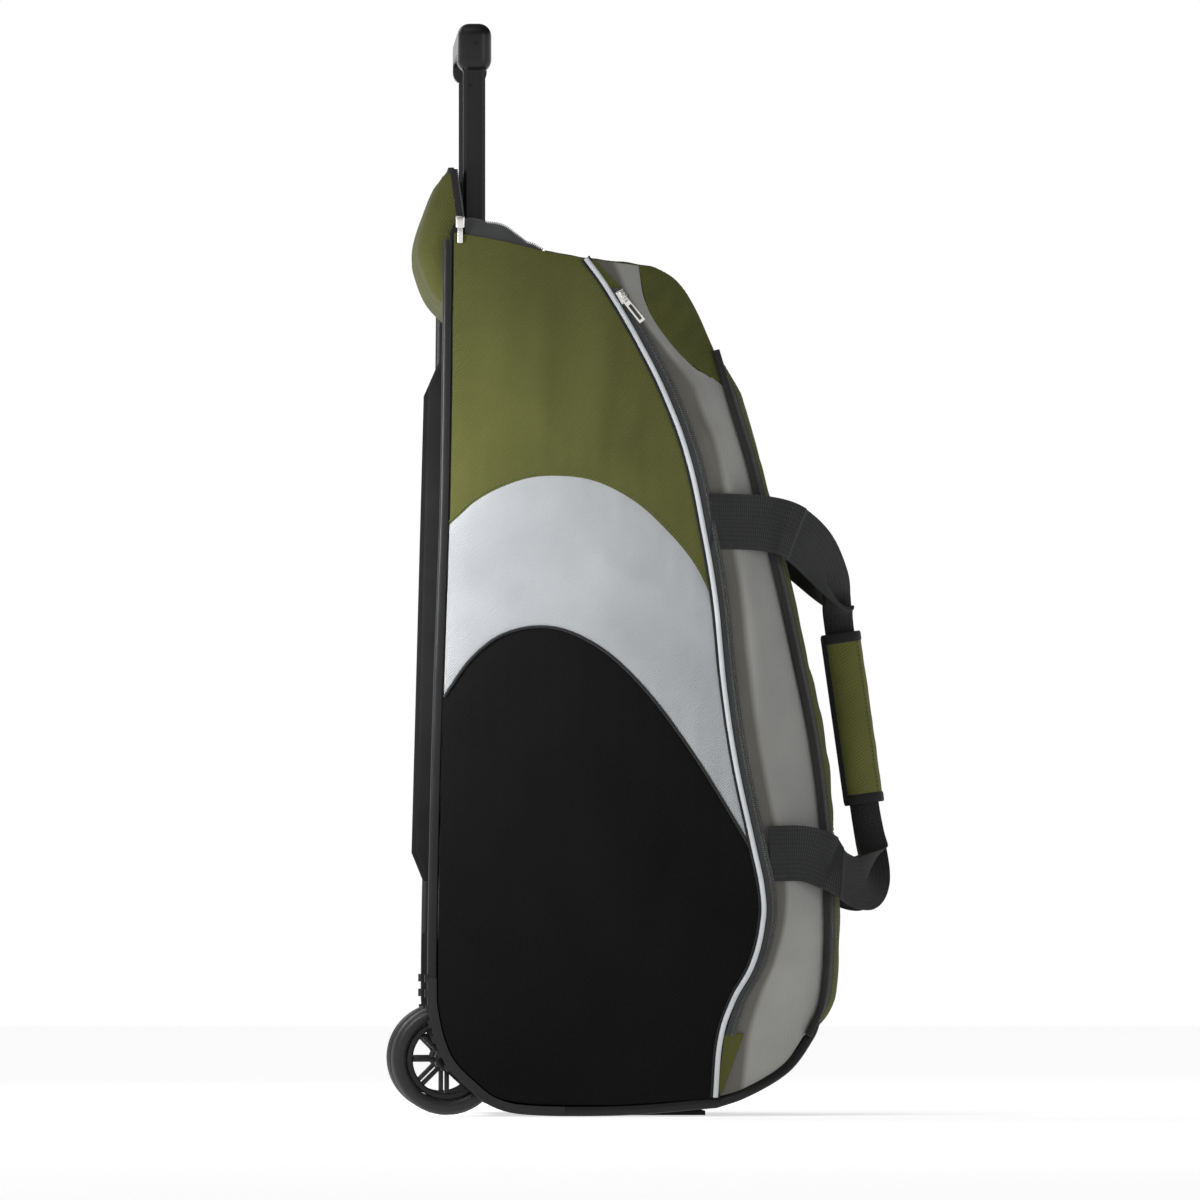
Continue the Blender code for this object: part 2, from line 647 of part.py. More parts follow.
def wheels():
    centre, cheek, outer, inner = wheel_places()
    for name, side in side_names("tyre"):
        middle = side * (outer + inner) / 2
        half = WHEEL_WIDTH / 2
        bore = WHEEL_RADIUS - TYRE_DEPTH
        profile = [(bore, middle - half * 0.8), (bore, middle + half * 0.8),
                   (WHEEL_RADIUS - TYRE_DEPTH * 0.6, middle + half),
                   (WHEEL_RADIUS - TYRE_DEPTH * 0.2, middle + half * 0.75),
                   (WHEEL_RADIUS, middle + half * 0.3), (WHEEL_RADIUS, middle - half * 0.3),
                   (WHEEL_RADIUS - TYRE_DEPTH * 0.2, middle - half * 0.75),
                   (WHEEL_RADIUS - TYRE_DEPTH * 0.6, middle - half)]
        ring(name, centre, profile, "tyre_rubber")
        seat = bore - GAP
        band_profile = [(seat - RIM_BAND, middle - half * 0.7), (seat - RIM_BAND, middle + half * 0.7),
                        (seat, middle + half * 0.7), (seat, middle - half * 0.7)]
        stem = name.replace("tyre", "wheel_rim")
        rim = ring(stem, centre, band_profile, "black_plastic")
        hub = drum("hub", centre, HUB_RADIUS, middle - half, middle + half, "black_plastic", 14)
        combine(rim, hub, "UNION")
        for k in range(SPOKES):
            angle = 2 * math.pi * k / SPOKES
            spoke = block("spoke", (HUB_RADIUS * 0.6, -SPOKE_THICKNESS / 2, -SPOKE_WIDTH / 2),
                          (seat - RIM_BAND / 2, SPOKE_THICKNESS / 2, SPOKE_WIDTH / 2), "black_plastic")
            spoke.data.transform(Matrix.Rotation(-angle, 4, "Y"))
            spoke.data.transform(Matrix.Translation((centre[0], middle, centre[1])))
            combine(rim, spoke, "UNION")
        bore = drum("bore", centre, AXLE_RADIUS + GAP, middle - half - CUT_OVERRUN,
                    middle + half + CUT_OVERRUN, "black_plastic", 14)
        combine(rim, bore, "DIFFERENCE")
        ends = sorted((side * (inner - WHEEL_SIDE_GAP - WELL_WALL), side * (cheek - GAP)))
        drum(name.replace("tyre", "axle"), centre, AXLE_RADIUS, *ends, "black_metal", 14)


def tube_x():
    return place((0.0, 0.0))[0] + TUBE_SETBACK


def tube(name, x, y, size, wall, low, high):
    """A rectangular tube with rounded corners and open ends."""
    made = bmesh.new()
    rings = []
    for inset in (0.0, wall):
        half = (size[0] / 2 - inset, size[1] / 2 - inset)
        cut = max(TUBE_CORNER - inset, TUBE_CORNER / 3)
        outline = [(half[0] - cut, -half[1]), (half[0], -half[1] + cut), (half[0], half[1] - cut),
                   (half[0] - cut, half[1]), (-half[0] + cut, half[1]), (-half[0], half[1] - cut),
                   (-half[0], -half[1] + cut), (-half[0] + cut, -half[1])]
        rings.append([[made.verts.new((x + a, y + b, z)) for a, b in outline] for z in (low, high)])
    (outer_low, outer_high), (inner_low, inner_high) = rings
    for i in range(8):
        k = (i + 1) % 8
        made.faces.new((outer_low[i], outer_low[k], outer_high[k], outer_high[i]))
        made.faces.new((inner_low[i], inner_high[i], inner_high[k], inner_low[k]))
        made.faces.new((outer_high[i], outer_high[k], inner_high[k], inner_high[i]))
        made.faces.new((outer_low[i], inner_low[i], inner_low[k], outer_low[k]))
    return add_object(name, made, "black_metal", smooth=False)


def handle():
    x = tube_x()
    outer_size = [s + 2 * (SLIDE_CLEARANCE + OUTER_WALL) for s in INNER_TUBE]
    top = HANDLE_TOP - GRIP_HEIGHT + SOCKET_DEPTH - GAP
    for name, side in side_names("inner_tube"):
        tube(name, x, side * TUBE_TRACK / 2, INNER_TUBE, INNER_WALL, top - INNER_TUBE_LENGTH, top)
    for name, side in side_names("outer_tube"):
        tube(name, x, side * TUBE_TRACK / 2, outer_size, OUTER_WALL, OUTER_TUBE_FOOT,
             OUTER_TUBE_FOOT + OUTER_TUBE_LENGTH)
    grip(x)
    high = OUTER_TUBE_FOOT + OUTER_TUBE_LENGTH - COLLAR_HEIGHT - COLLAR_DROP
    for name, foot in (("tube_foot", OUTER_TUBE_FOOT + FOOT_RISE), ("tube_collar", high)):
        collar(name, x, foot, outer_size)


def collar(name, x, foot, outer_size):
    """A moulded bridge that carries both outer tubes on the back panel."""
    middle = (foot + COLLAR_HEIGHT / 2) / BODY_HEIGHT
    lower = middle - COLLAR_HEIGHT / BODY_HEIGHT
    rear = place((depth_at(BACK_EDGE, lower), 0))[0] + CLOTH + COLLAR_SEAT
    if middle < BASE_TOP:
        wall = place((depth_at(BACK_EDGE, middle), 0))[0] - 2 * RIM_RADIUS - GAP
        rear = wall + BASE_WALL + COLLAR_SEAT
    half = TUBE_TRACK / 2 + outer_size[1] / 2 + COLLAR_MARGIN
    ahead = x + outer_size[0] / 2 + COLLAR_MARGIN
    made = block(name, (rear, -half, foot), (ahead, half, foot + COLLAR_HEIGHT), "black_plastic", 0.001)
    for side in (-1, 1):
        y = side * TUBE_TRACK / 2
        hole = [s / 2 + GAP for s in outer_size]
        cutter = block("hole", (x - hole[0], y - hole[1], foot - CUT_OVERRUN),
                       (x + hole[0], y + hole[1], foot + COLLAR_HEIGHT + CUT_OVERRUN), "black_plastic")
        combine(made, cutter, "DIFFERENCE")


def grip(x):
    half = TUBE_TRACK / 2 + GRIP_END / 2
    top = HANDLE_TOP
    made = bmesh.new()
    corner = GRIP_CORNER
    outline = []
    for centre, start in ((GRIP_DEPTH / 2 - corner, 0.0), (-GRIP_DEPTH / 2 + corner, math.pi / 2)):
        outline += [(x + centre + corner * math.cos(start + a * math.pi / 8),
                     top - corner + corner * math.sin(start + a * math.pi / 8)) for a in range(5)]
    outline += [(x - GRIP_DEPTH / 2, top - GRIP_HEIGHT), (x + GRIP_DEPTH / 2, top - GRIP_HEIGHT)]
    low = [made.verts.new((a, -half, b)) for a, b in outline]
    high = [made.verts.new((a, half, b)) for a, b in outline]
    made.faces.new(low)
    made.faces.new(high[::-1])
    for i in range(len(outline)):
        k = (i + 1) % len(outline)
        made.faces.new((low[i], high[i], high[k], low[k]))
    ends = [edge for edge in made.edges if abs(edge.verts[0].co.y - edge.verts[1].co.y) < 1e-6]
    bmesh.ops.bevel(made, geom=ends, offset=GRIP_END_BEVEL, segments=2, affect="EDGES", profile=0.5,
                    clamp_overlap=True)
    bar = add_object("grip", made, "black_plastic", smooth=False)
    notch = TUBE_TRACK / 2 - GRIP_END / 2
    room = block("notch", (x - GRIP_DEPTH, -notch, top - GRIP_HEIGHT - CUT_OVERRUN),
                 (x + GRIP_DEPTH, notch, top - GRIP_BAR), "black_plastic")
    combine(bar, room, "DIFFERENCE")
    for side in (-1, 1):
        hole = [s / 2 + GAP for s in INNER_TUBE]
        y = side * TUBE_TRACK / 2
        socket = block("socket", (x - hole[0], y - hole[1], top - GRIP_HEIGHT - CUT_OVERRUN),
                       (x + hole[0], y + hole[1], top - GRIP_HEIGHT + SOCKET_DEPTH), "black_plastic")
        combine(bar, socket, "DIFFERENCE")


def rails():
    """Two rails that guard the back, seated on the back panel between the rims."""
    for name, side in side_names("back_rail"):
        heights = [RAIL_FOOT, RAIL_FOOT + RAIL_LENGTH]
        faces, seats = [], []
        for z in (heights[0], heights[0] + RAIL_CHAMFER, heights[1] - RAIL_CHAMFER, heights[1]):
            x = place((depth_at(BACK_EDGE, z / BODY_HEIGHT), 0))[0] - GAP * 2
            lift = RAIL_THICKNESS if heights[0] < z < heights[1] else RAIL_TIP
            faces.append(Vector((x - lift, z)))
        for i in range(9):
            z = blend(heights[0], heights[1], i / 8)
            seats.append(Vector((place((depth_at(BACK_EDGE, z / BODY_HEIGHT), 0))[0] - GAP * 2, z)))
        low = side * RAIL_TRACK / 2 - RAIL_WIDTH / 2
        strip_solid(name, faces, seats, low, low + RAIL_WIDTH, "black_plastic")


def strap_rows():
    """The near strap's middle line: shares of depth, half width and height, turn and fold."""
    return [Bend(0.712, 0.90, 0.668, 0, 0.0), Bend(0.760, 0.90, 0.668, 0, 0.0),
            Bend(0.810, 0.900, 0.666, 4, 0.0), Bend(0.875, 0.800, 0.658, 12, 0.0),
            Bend(0.940, 0.590, 0.634, 26, 0.1), Bend(0.985, 0.340, 0.600, 44, 0.45),
            Bend(1.002, 0.130, 0.580, 66, 0.9), Bend(1.011, 0.034, 0.553, 82, 1.0),
            Bend(1.035, 0.030, 0.474, 82, 1.0), Bend(1.055, 0.030, 0.410, 82, 1.0),
            Bend(1.076, 0.034, 0.344, 82, 1.0), Bend(1.087, 0.110, 0.316, 96, 0.95),
            Bend(1.085, 0.300, 0.288, 124, 0.55), Bend(1.062, 0.520, 0.272, 150, 0.15),
            Bend(1.020, 0.700, 0.274, 166, 0.0), Bend(0.970, 0.860, 0.286, 176, 0.0),
            Bend(0.905, 0.880, 0.294, 180, 0.0), Bend(0.845, 0.900, 0.294, 180, 0.0)]


def strap_seat(point):
    """The least y of webbing at a point, so that it lies on the side, its zip and its piping."""
    depth = point.x / BODY_DEPTH + BASE_CENTRE
    height = point.z / BODY_HEIGHT
    if depth > depth_at(FRONT_SEAM, height) + 5 * BLACK_PIPING_RADIUS / BODY_DEPTH:
        return 0.0
    surface = half_width(min(depth, depth_at(FRONT_SEAM, height)), height)
    before = (depth_at(FRONT_SEAM, height) - depth) * BODY_DEPTH / STRAP_RAMP
    over_piping = 1 - max(0.0, min(1.0, before - 0.5))
    low = STRAP_THICKNESS / 2 + 2 * GAP
    return surface + low + over_piping * (BLACK_PIPING_RADIUS * 2 + STRAP_SEAT - 2 * GAP)


def ribbon(name, side):
    """Webbing that keeps its width, folded double where it meets the wrap."""
    rows = strap_rows()
    curve = smooth_curve([(r.depth, r.half, r.height, r.turn / 90, r.fold) for r in rows])
    steps = 34
    rings = []
    middles = []
    for i in range(steps + 1):
        depth, half, height, turn, fold = curve(i / steps)
        x, z = place((depth, height))
        middles.append((Vector((x, half * (BODY_WIDTH / 2), z)), turn, min(max(fold, 0.0), 1.0)))
    made = bmesh.new()
    for i, (point, turn, fold) in enumerate(middles):
        ahead = middles[min(i + 1, steps)][0]
        behind = middles[max(i - 1, 0)][0]
        along = (ahead - behind).normalized()
        angle = math.radians(turn * 90)
        across = Vector((math.sin(angle), 0.0, math.cos(angle)))
        across = (across - along * across.dot(along)).normalized()
        face = along.cross(across).normalized()
        if face.y < 0:
            face = -face
        width = blend(STRAP_WIDTH, STRAP_WIDTH * 0.5, fold)
        thick = blend(STRAP_THICKNESS, STRAP_THICKNESS * 2, fold)
        edges = [point + across * width / 2 * a for a in (-1, 0, 1)]
        point = Vector((point.x, max([point.y] + [strap_seat(p) for p in edges]), point.z))
        ring_points = [point + across * width / 2 * a + face * thick / 2 * b
                       for a, b in ((-1, -1), (1, -1), (1, 1), (-1, 1))]
        rings.append([made.verts.new((p.x, p.y * side, p.z)) for p in ring_points])
    for first, second in zip(rings, rings[1:]):
        for j in range(4):
            k = (j + 1) % 4
            made.faces.new((first[j], second[j], second[k], first[k]))
    made.faces.new(rings[0][::-1])
    made.faces.new(rings[-1])
    return add_object(name, made, "webbing")


def wrap():
    """The padded sleeve that holds the two straps together."""
    low = place(WRAP_FOOT)
    high = low + Vector((-WRAP_LEAN, WRAP_LENGTH))
    made = bmesh.new()
    sides = 16
    rings = []
    for inset in (0.0, WRAP_WALL):
        pair = []
        for end in (low, high):
            loop = []
            for i in range(sides):
                angle = 2 * math.pi * i / sides
                a = (WRAP_DEPTH / 2 - inset) * math.copysign(abs(math.cos(angle)) ** 0.7, math.cos(angle))
                b = (WRAP_WIDTH / 2 - inset) * math.copysign(abs(math.sin(angle)) ** 0.7, math.sin(angle))
                loop.append(made.verts.new((end[0] + a, b, end[1])))
            pair.append(loop)
        rings.append(pair)
    (outer_low, outer_high), (inner_low, inner_high) = rings
    for i in range(sides):
        k = (i + 1) % sides
        made.faces.new((outer_low[i], outer_low[k], outer_high[k], outer_high[i]))
        made.faces.new((inner_low[i], inner_high[i], inner_high[k], inner_low[k]))
        made.faces.new((outer_high[i], outer_high[k], inner_high[k], inner_high[i]))
        made.faces.new((outer_low[i], inner_low[i], inner_low[k], outer_low[k]))
    add_object("handle_wrap", made, "olive_cloth")


def flap():
    """The unzipped cloth hood that hangs open behind the handle, sewn to the back panel's top."""
    face = place((0.041, 0.0))[0] - 2 * GAP
    seat = place((depth_at(BACK_EDGE, 0.90), 0.0))[0] - 2 * GAP
    base = BODY_HEIGHT * BACK_TOP
    outside = []
    for a, b in FLAP_PROFILE:
        outside.append(Vector((face - FLAP_BULGE * a, base + (FLAP_DROP if b < 0 else FLAP_RISE) * b)))
    outside[0][0] = seat
    curve = smooth_curve([tuple(p) for p in outside])
    steps = 10
    outer = [curve(i / steps) for i in range(steps + 1)]
    closing = [Vector((face + FLAP_CLOSING, base + FLAP_RISE * 0.27)), Vector((face, base + CLOTH))]
    hood = strip_solid("flap", outer, closing[::-1], -FLAP_WIDTH / 2, FLAP_WIDTH / 2, "olive_cloth")
    room = [Vector((p[0] + CLOTH, p[1])) for p in outer[1:-1]]
    ahead = face + FLAP_BULGE
    room = [Vector((ahead, room[0][1])), *room, Vector((ahead, base + 2 * FLAP_RISE))]
    cutter = strip_solid("room", room, [], -FLAP_WIDTH / 2 + CLOTH, FLAP_WIDTH / 2 - CLOTH, "olive_cloth")
    combine(hood, cutter, "DIFFERENCE")


def sliders():
    """Zip sliders with their pulls: one on each main zip, one at the mouth's near end."""
    for name, side in side_names("slider"):
        beside = (ZIP_WIDTH * 0.5 + PIPING_RADIUS + 3 * GAP) / BODY_DEPTH
        spot = Seam(depth_at(WHITE_SEAM, SLIDER_PLACE) + beside, SLIDER_PLACE)
        surface = side_point(*spot, 1, -(ZIP_THICKNESS + ZIP_LIFT * 3)).y
        x, z = place(spot)
        along = (place(WHITE_SEAM[-2]) - place(WHITE_SEAM[-3])).normalized()
        tilt = math.atan2(along[0], along[1])
        body = block(name, (-SLIDER_WIDTH / 2, 0, -SLIDER_LENGTH / 2),
                     (SLIDER_WIDTH / 2, SLIDER_THICKNESS, SLIDER_LENGTH / 2), "nickel", bevel=0.0012)
        pull = block(name.replace("slider", "pull"), (-PULL_WIDTH / 2, SLIDER_THICKNESS + GAP, -PULL_LENGTH),
                     (PULL_WIDTH / 2, SLIDER_THICKNESS + GAP + PULL_THICKNESS, 0.002), "nickel", bevel=0.0006)
        fit = Matrix.Translation((x, surface, z)) @ Matrix.Rotation(tilt, 4, "Y")
        for piece in (body, pull):
            piece.data.transform(fit)
            if side < 0:
                piece.data.transform(Matrix.Diagonal((1.0, -1.0, 1.0, 1.0)))
                piece.data.flip_normals()


def build():
    clear_scene()
    side_panels()
    bands()
    rims()
    pipings()
    zips()
    moulded_base()
    wheels()
    handle()
    rails()
    for name, side in side_names("strap"):
        ribbon(name, side)
    wrap()
    flap()
    sliders()


build()
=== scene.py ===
"""Wheeled duffel bag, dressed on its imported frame.

Every cloth panel is a fine sheet between the same seams as its solid, with folds and a weave.
Lengths are metres. +X is the front, -Y the near side, Z is up from the floor.
"""

import json
import logging
import math
from contextlib import contextmanager
from dataclasses import dataclass
from enum import Enum
from typing import Callable, Iterator, Sequence

import bmesh
import bpy
from mathutils import Matrix, Vector, noise

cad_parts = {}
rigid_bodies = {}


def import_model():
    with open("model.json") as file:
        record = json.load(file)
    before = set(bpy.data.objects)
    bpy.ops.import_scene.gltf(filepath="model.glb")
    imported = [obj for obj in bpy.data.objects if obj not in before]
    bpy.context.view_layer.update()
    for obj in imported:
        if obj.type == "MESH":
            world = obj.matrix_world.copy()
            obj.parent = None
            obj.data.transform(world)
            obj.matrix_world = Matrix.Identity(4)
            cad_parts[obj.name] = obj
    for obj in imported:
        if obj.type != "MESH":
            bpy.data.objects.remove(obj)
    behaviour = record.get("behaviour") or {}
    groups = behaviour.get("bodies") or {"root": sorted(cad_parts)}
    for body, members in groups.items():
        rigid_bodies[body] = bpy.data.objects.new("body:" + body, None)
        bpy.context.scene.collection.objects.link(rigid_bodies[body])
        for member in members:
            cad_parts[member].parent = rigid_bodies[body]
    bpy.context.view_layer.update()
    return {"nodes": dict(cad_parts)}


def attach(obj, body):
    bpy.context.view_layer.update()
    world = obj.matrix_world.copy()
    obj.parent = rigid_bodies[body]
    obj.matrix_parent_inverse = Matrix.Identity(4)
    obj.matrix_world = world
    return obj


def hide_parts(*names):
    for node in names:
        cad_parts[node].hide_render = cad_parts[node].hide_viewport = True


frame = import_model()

LOG = logging.getLogger("bag")
Row = tuple[float, float]
Grid = list[list[Vector]]

PIXEL = 0.0009
PHOTO_MIDDLE = 600
PHOTO_FLOOR = 1115
STITCH_PITCH = 0.0042
STITCH_SIZE = (0.0031, 0.0007, 0.0006)


class Side(Enum):
    """The two flanks of the bag, with the sign of their Y."""

    LEFT = -1
    RIGHT = 1

    @property
    def tag(self) -> str:
        """The word that ends the names of this flank's pieces."""
        return self.name.lower()


@dataclass(frozen=True)
class Crease:
    """A soft ridge or valley of cloth along a straight line in x and z."""

    start: Row
    end: Row
    width: float
    rise: float

    def lift(self, x: float, z: float) -> float:
        """How far the crease lifts the cloth at a place.

        Args:
            x: Place along the bag.
            z: Height of the place.

        Returns:
            Metres outwards, negative for a valley.
        """
        ax, az = self.end[0] - self.start[0], self.end[1] - self.start[1]
        length = math.hypot(ax, az)
        t = ((x - self.start[0]) * ax + (z - self.start[1]) * az) / length ** 2
        away = ((x - self.start[0]) * az - (z - self.start[1]) * ax) / length
        taper = math.exp(-max(0.0, abs(t - 0.5) - 0.3) ** 2 / 0.03)
        return self.rise * taper * math.exp(-(away / self.width) ** 2)


def smooth_curve(rows: Sequence[Sequence[float]]) -> Callable[[float], Vector]:
    """A smooth curve through rows of equal length.

    Args:
        rows: Points in any number of dimensions.

    Returns:
        A function that gives the curve's point for a share of its length from 0 to 1.
    """
    points = [Vector(row) for row in rows]
    chords = [0.0]
    for first, second in zip(points, points[1:]):
        chords.append(chords[-1] + (second - first).length)

    def at(t: float) -> Vector:
        """The curve's point at a share of its length."""
        reach = min(max(t, 0.0), 1.0) * chords[-1]
        i = max(k for k in range(len(points) - 1) if chords[k] <= reach + 1e-12)
        s = (reach - chords[i]) / (chords[i + 1] - chords[i])
        one, two = points[i], points[i + 1]
        before = points[i - 1] if i else one * 2 - two
        after = points[i + 2] if i + 2 < len(points) else two * 2 - one
        cubic = 3 * one - before - 3 * two + after
        square = 2 * before - 5 * one + 4 * two - after
        return 0.5 * (2 * one + (two - before) * s + square * s * s + cubic * s * s * s)

    return at


def blend(a: float, b: float, t: float) -> float:
    """The value a share of the way from one number to another."""
    return a + (b - a) * t


def clamp(value: float) -> float:
    """A number held between 0 and 1."""
    return max(0.0, min(1.0, value))


def closing(t: float) -> float:
    """The share of a bulge's height at a share of its length: none at both ends, whole between."""
    reach = 0.07
    return math.sqrt(clamp(t / reach) * clamp((1 - t) / reach))


@dataclass(frozen=True)
class BagForm:
    """The bag's driving sizes and the seams of its side, as shares of depth and height."""

    height: float = 0.800
    depth: float = 0.366
    width: float = 0.340
    base_centre: float = 0.40
    cloth: float = 0.0025
    swell: float = 0.006
    front_fall: float = 0.045
    fall_span: float = 0.19
    zip_room: float = 0.0125
    zip_rise: float = 0.0105
    mouth_front: float = 0.265
    back: tuple[Row, ...] = ((.002, .161), (.008, .330), (.016, .470), (.026, .600), (.033, .700),
                             (.038, .850), (.041, .993))
    corner: tuple[Row, ...] = ((.246, .012), (.155, .019), (.096, .038), (.037, .068), (.007, .113),
                               (.002, .161))
    bottom: tuple[Row, ...] = ((.246, .012), (.460, .012), (.683, .020))
    nose: tuple[Row, ...] = ((.683, .020), (.757, .030), (.855, .056), (.912, .090))
    white_seam: tuple[Row, ...] = ((.683, .020), (.695, .084), (.727, .129), (.774, .169), (.799, .214),
                                   (.799, .253), (.774, .309), (.732, .399), (.703, .489), (.683, .579),
                                   (.654, .658), (.617, .737), (.565, .804), (.499, .866), (.420, .928),
                                   (.364, .964))
    front_seam: tuple[Row, ...] = ((.912, .090), (.946, .129), (.956, .186), (.955, .242), (.946, .330),
                                   (.921, .422), (.886, .500), (.845, .585), (.799, .669), (.764, .735),
                                   (.728, .790), (.683, .861))
    top: tuple[Row, ...] = ((.041, .993), (.155, .984), (.265, .972), (.364, .964), (.499, .958),
                            (.560, .951), (.609, .932), (.643, .903), (.683, .861))
    shoulder: tuple[Row, ...] = ((.499, .958), (.512, .917), (.560, .878), (.634, .842), (.706, .824))
    silver_top: tuple[Row, ...] = ((.030, .664), (.106, .694), (.204, .714), (.290, .719), (.388, .713),
                                   (.486, .690), (.568, .656), (.634, .619), (.684, .574))
    silver_foot: tuple[Row, ...] = ((.016, .470), (.081, .512), (.155, .539), (.241, .549), (.327, .543),
                                    (.425, .517), (.523, .472), (.622, .411), (.708, .349), (.781, .292))

    def place(self, share: Sequence[float]) -> Vector:
        """World x and z of a point given as shares of depth and height."""
        return Vector(((share[0] - self.base_centre) * self.depth, share[1] * self.height))

    def shares(self, x: float, z: float) -> Row:
        """The shares of depth and height of a world place."""
        return x / self.depth + self.base_centre, z / self.height

    @staticmethod
    def depth_at(rows: Sequence[Row], height: float) -> float:
        """Depth share of a rising seam at a height share, straight between its rows."""
        if height <= rows[0][1]:
            return rows[0][0]
        for low, high in zip(rows, rows[1:]):
            if height <= high[1]:
                return blend(low[0], high[0], (height - low[1]) / (high[1] - low[1]))
        return rows[-1][0]

    def part_of(self, rows: Sequence[Row], low: float, high: float) -> list[Row]:
        """The stretch of a rising seam between two height shares, with its own rows kept."""
        inner = [row for row in rows if low + 0.01 < row[1] < high - 0.01]
        return [(self.depth_at(rows, low), low), *inner, (self.depth_at(rows, high), high)]

    def half_width(self, depth: float, height: float) -> float:
        """Half the bag's width at a point of its side, level to the white seam, then falling in."""
        past = max(0.0, depth - self.depth_at(self.white_seam, height))
        back = clamp(depth / 0.7)
        swell = self.swell * 16 * back * clamp(height) * (1 - back) * (1 - height)
        return self.width / 2 + swell - self.front_fall * (past / self.fall_span) ** 1.4

    def normal(self, depth: float, height: float) -> Vector:
        """The outward direction of the +Y side at a point given as shares."""
        step = 0.004
        along_x = self.half_width(depth + step, height) - self.half_width(depth - step, height)
        along_z = self.half_width(depth, height + step) - self.half_width(depth, height - step)
        slope = Vector((-along_x / (2 * step * self.depth), 1.0, -along_z / (2 * step * self.height)))
        return slope.normalized()

    def side_point(self, share: Sequence[float], side: Side, lift: float = 0.0) -> Vector:
        """A point on the bag's side, lifted along the surface's own normal.

        Args:
            share: Depth and height shares.
            side: Which flank.
            lift: Metres outwards.

        Returns:
            The point in world metres.
        """
        x, z = self.place(share)
        point = Vector((x, self.half_width(*share), z)) + self.normal(*share) * lift
        return Vector((point.x, point.y * side.value, point.z))

    def side_normal(self, share: Sequence[float], side: Side) -> Vector:
        """The outward direction of one flank at a point given as shares."""
        out = self.normal(*share)
        return Vector((out.x, out.y * side.value, out.z))

    def seam_route(self, rows: Sequence[Row], side: Side, lift: float,
                   steps: int) -> tuple[list[Vector], list[Vector]]:
        """A line that lies on one flank along a seam.

        Args:
            rows: The seam's shares.
            side: Which flank.
            lift: Metres above the cloth.
            steps: Steps along it.

        Returns:
            Its points and their outward directions.
        """
        curve = smooth_curve(rows)
        shares = [curve(i / steps) for i in range(steps + 1)]
        return [self.side_point(s, side, lift) for s in shares], [self.side_normal(s, side) for s in shares]

    def inside_width(self, depth: float, height: float) -> float:
        """Half the width between the inner faces of the two sides."""
        out = self.normal(depth, height)
        return self.half_width(depth, height) - self.cloth / out.y - 0.0008

    def outline_normal(self, curve: Callable[[float], Vector], t: float) -> Vector:
        """The outward normal, in x and z, of an outline curve that runs round the bag."""
        step = 0.01
        ahead, behind = self.place(curve(min(1.0, t + step))), self.place(curve(max(0.0, t - step)))
        along = (ahead - behind).normalized()
        return Vector((along[1], -along[0]))


FORM = BagForm()


def at_pixel(px: float, py: float) -> Row:
    """World x and z of a place that is measured on the photograph's near side."""
    return (px - PHOTO_MIDDLE) * PIXEL, (PHOTO_FLOOR - py) * PIXEL


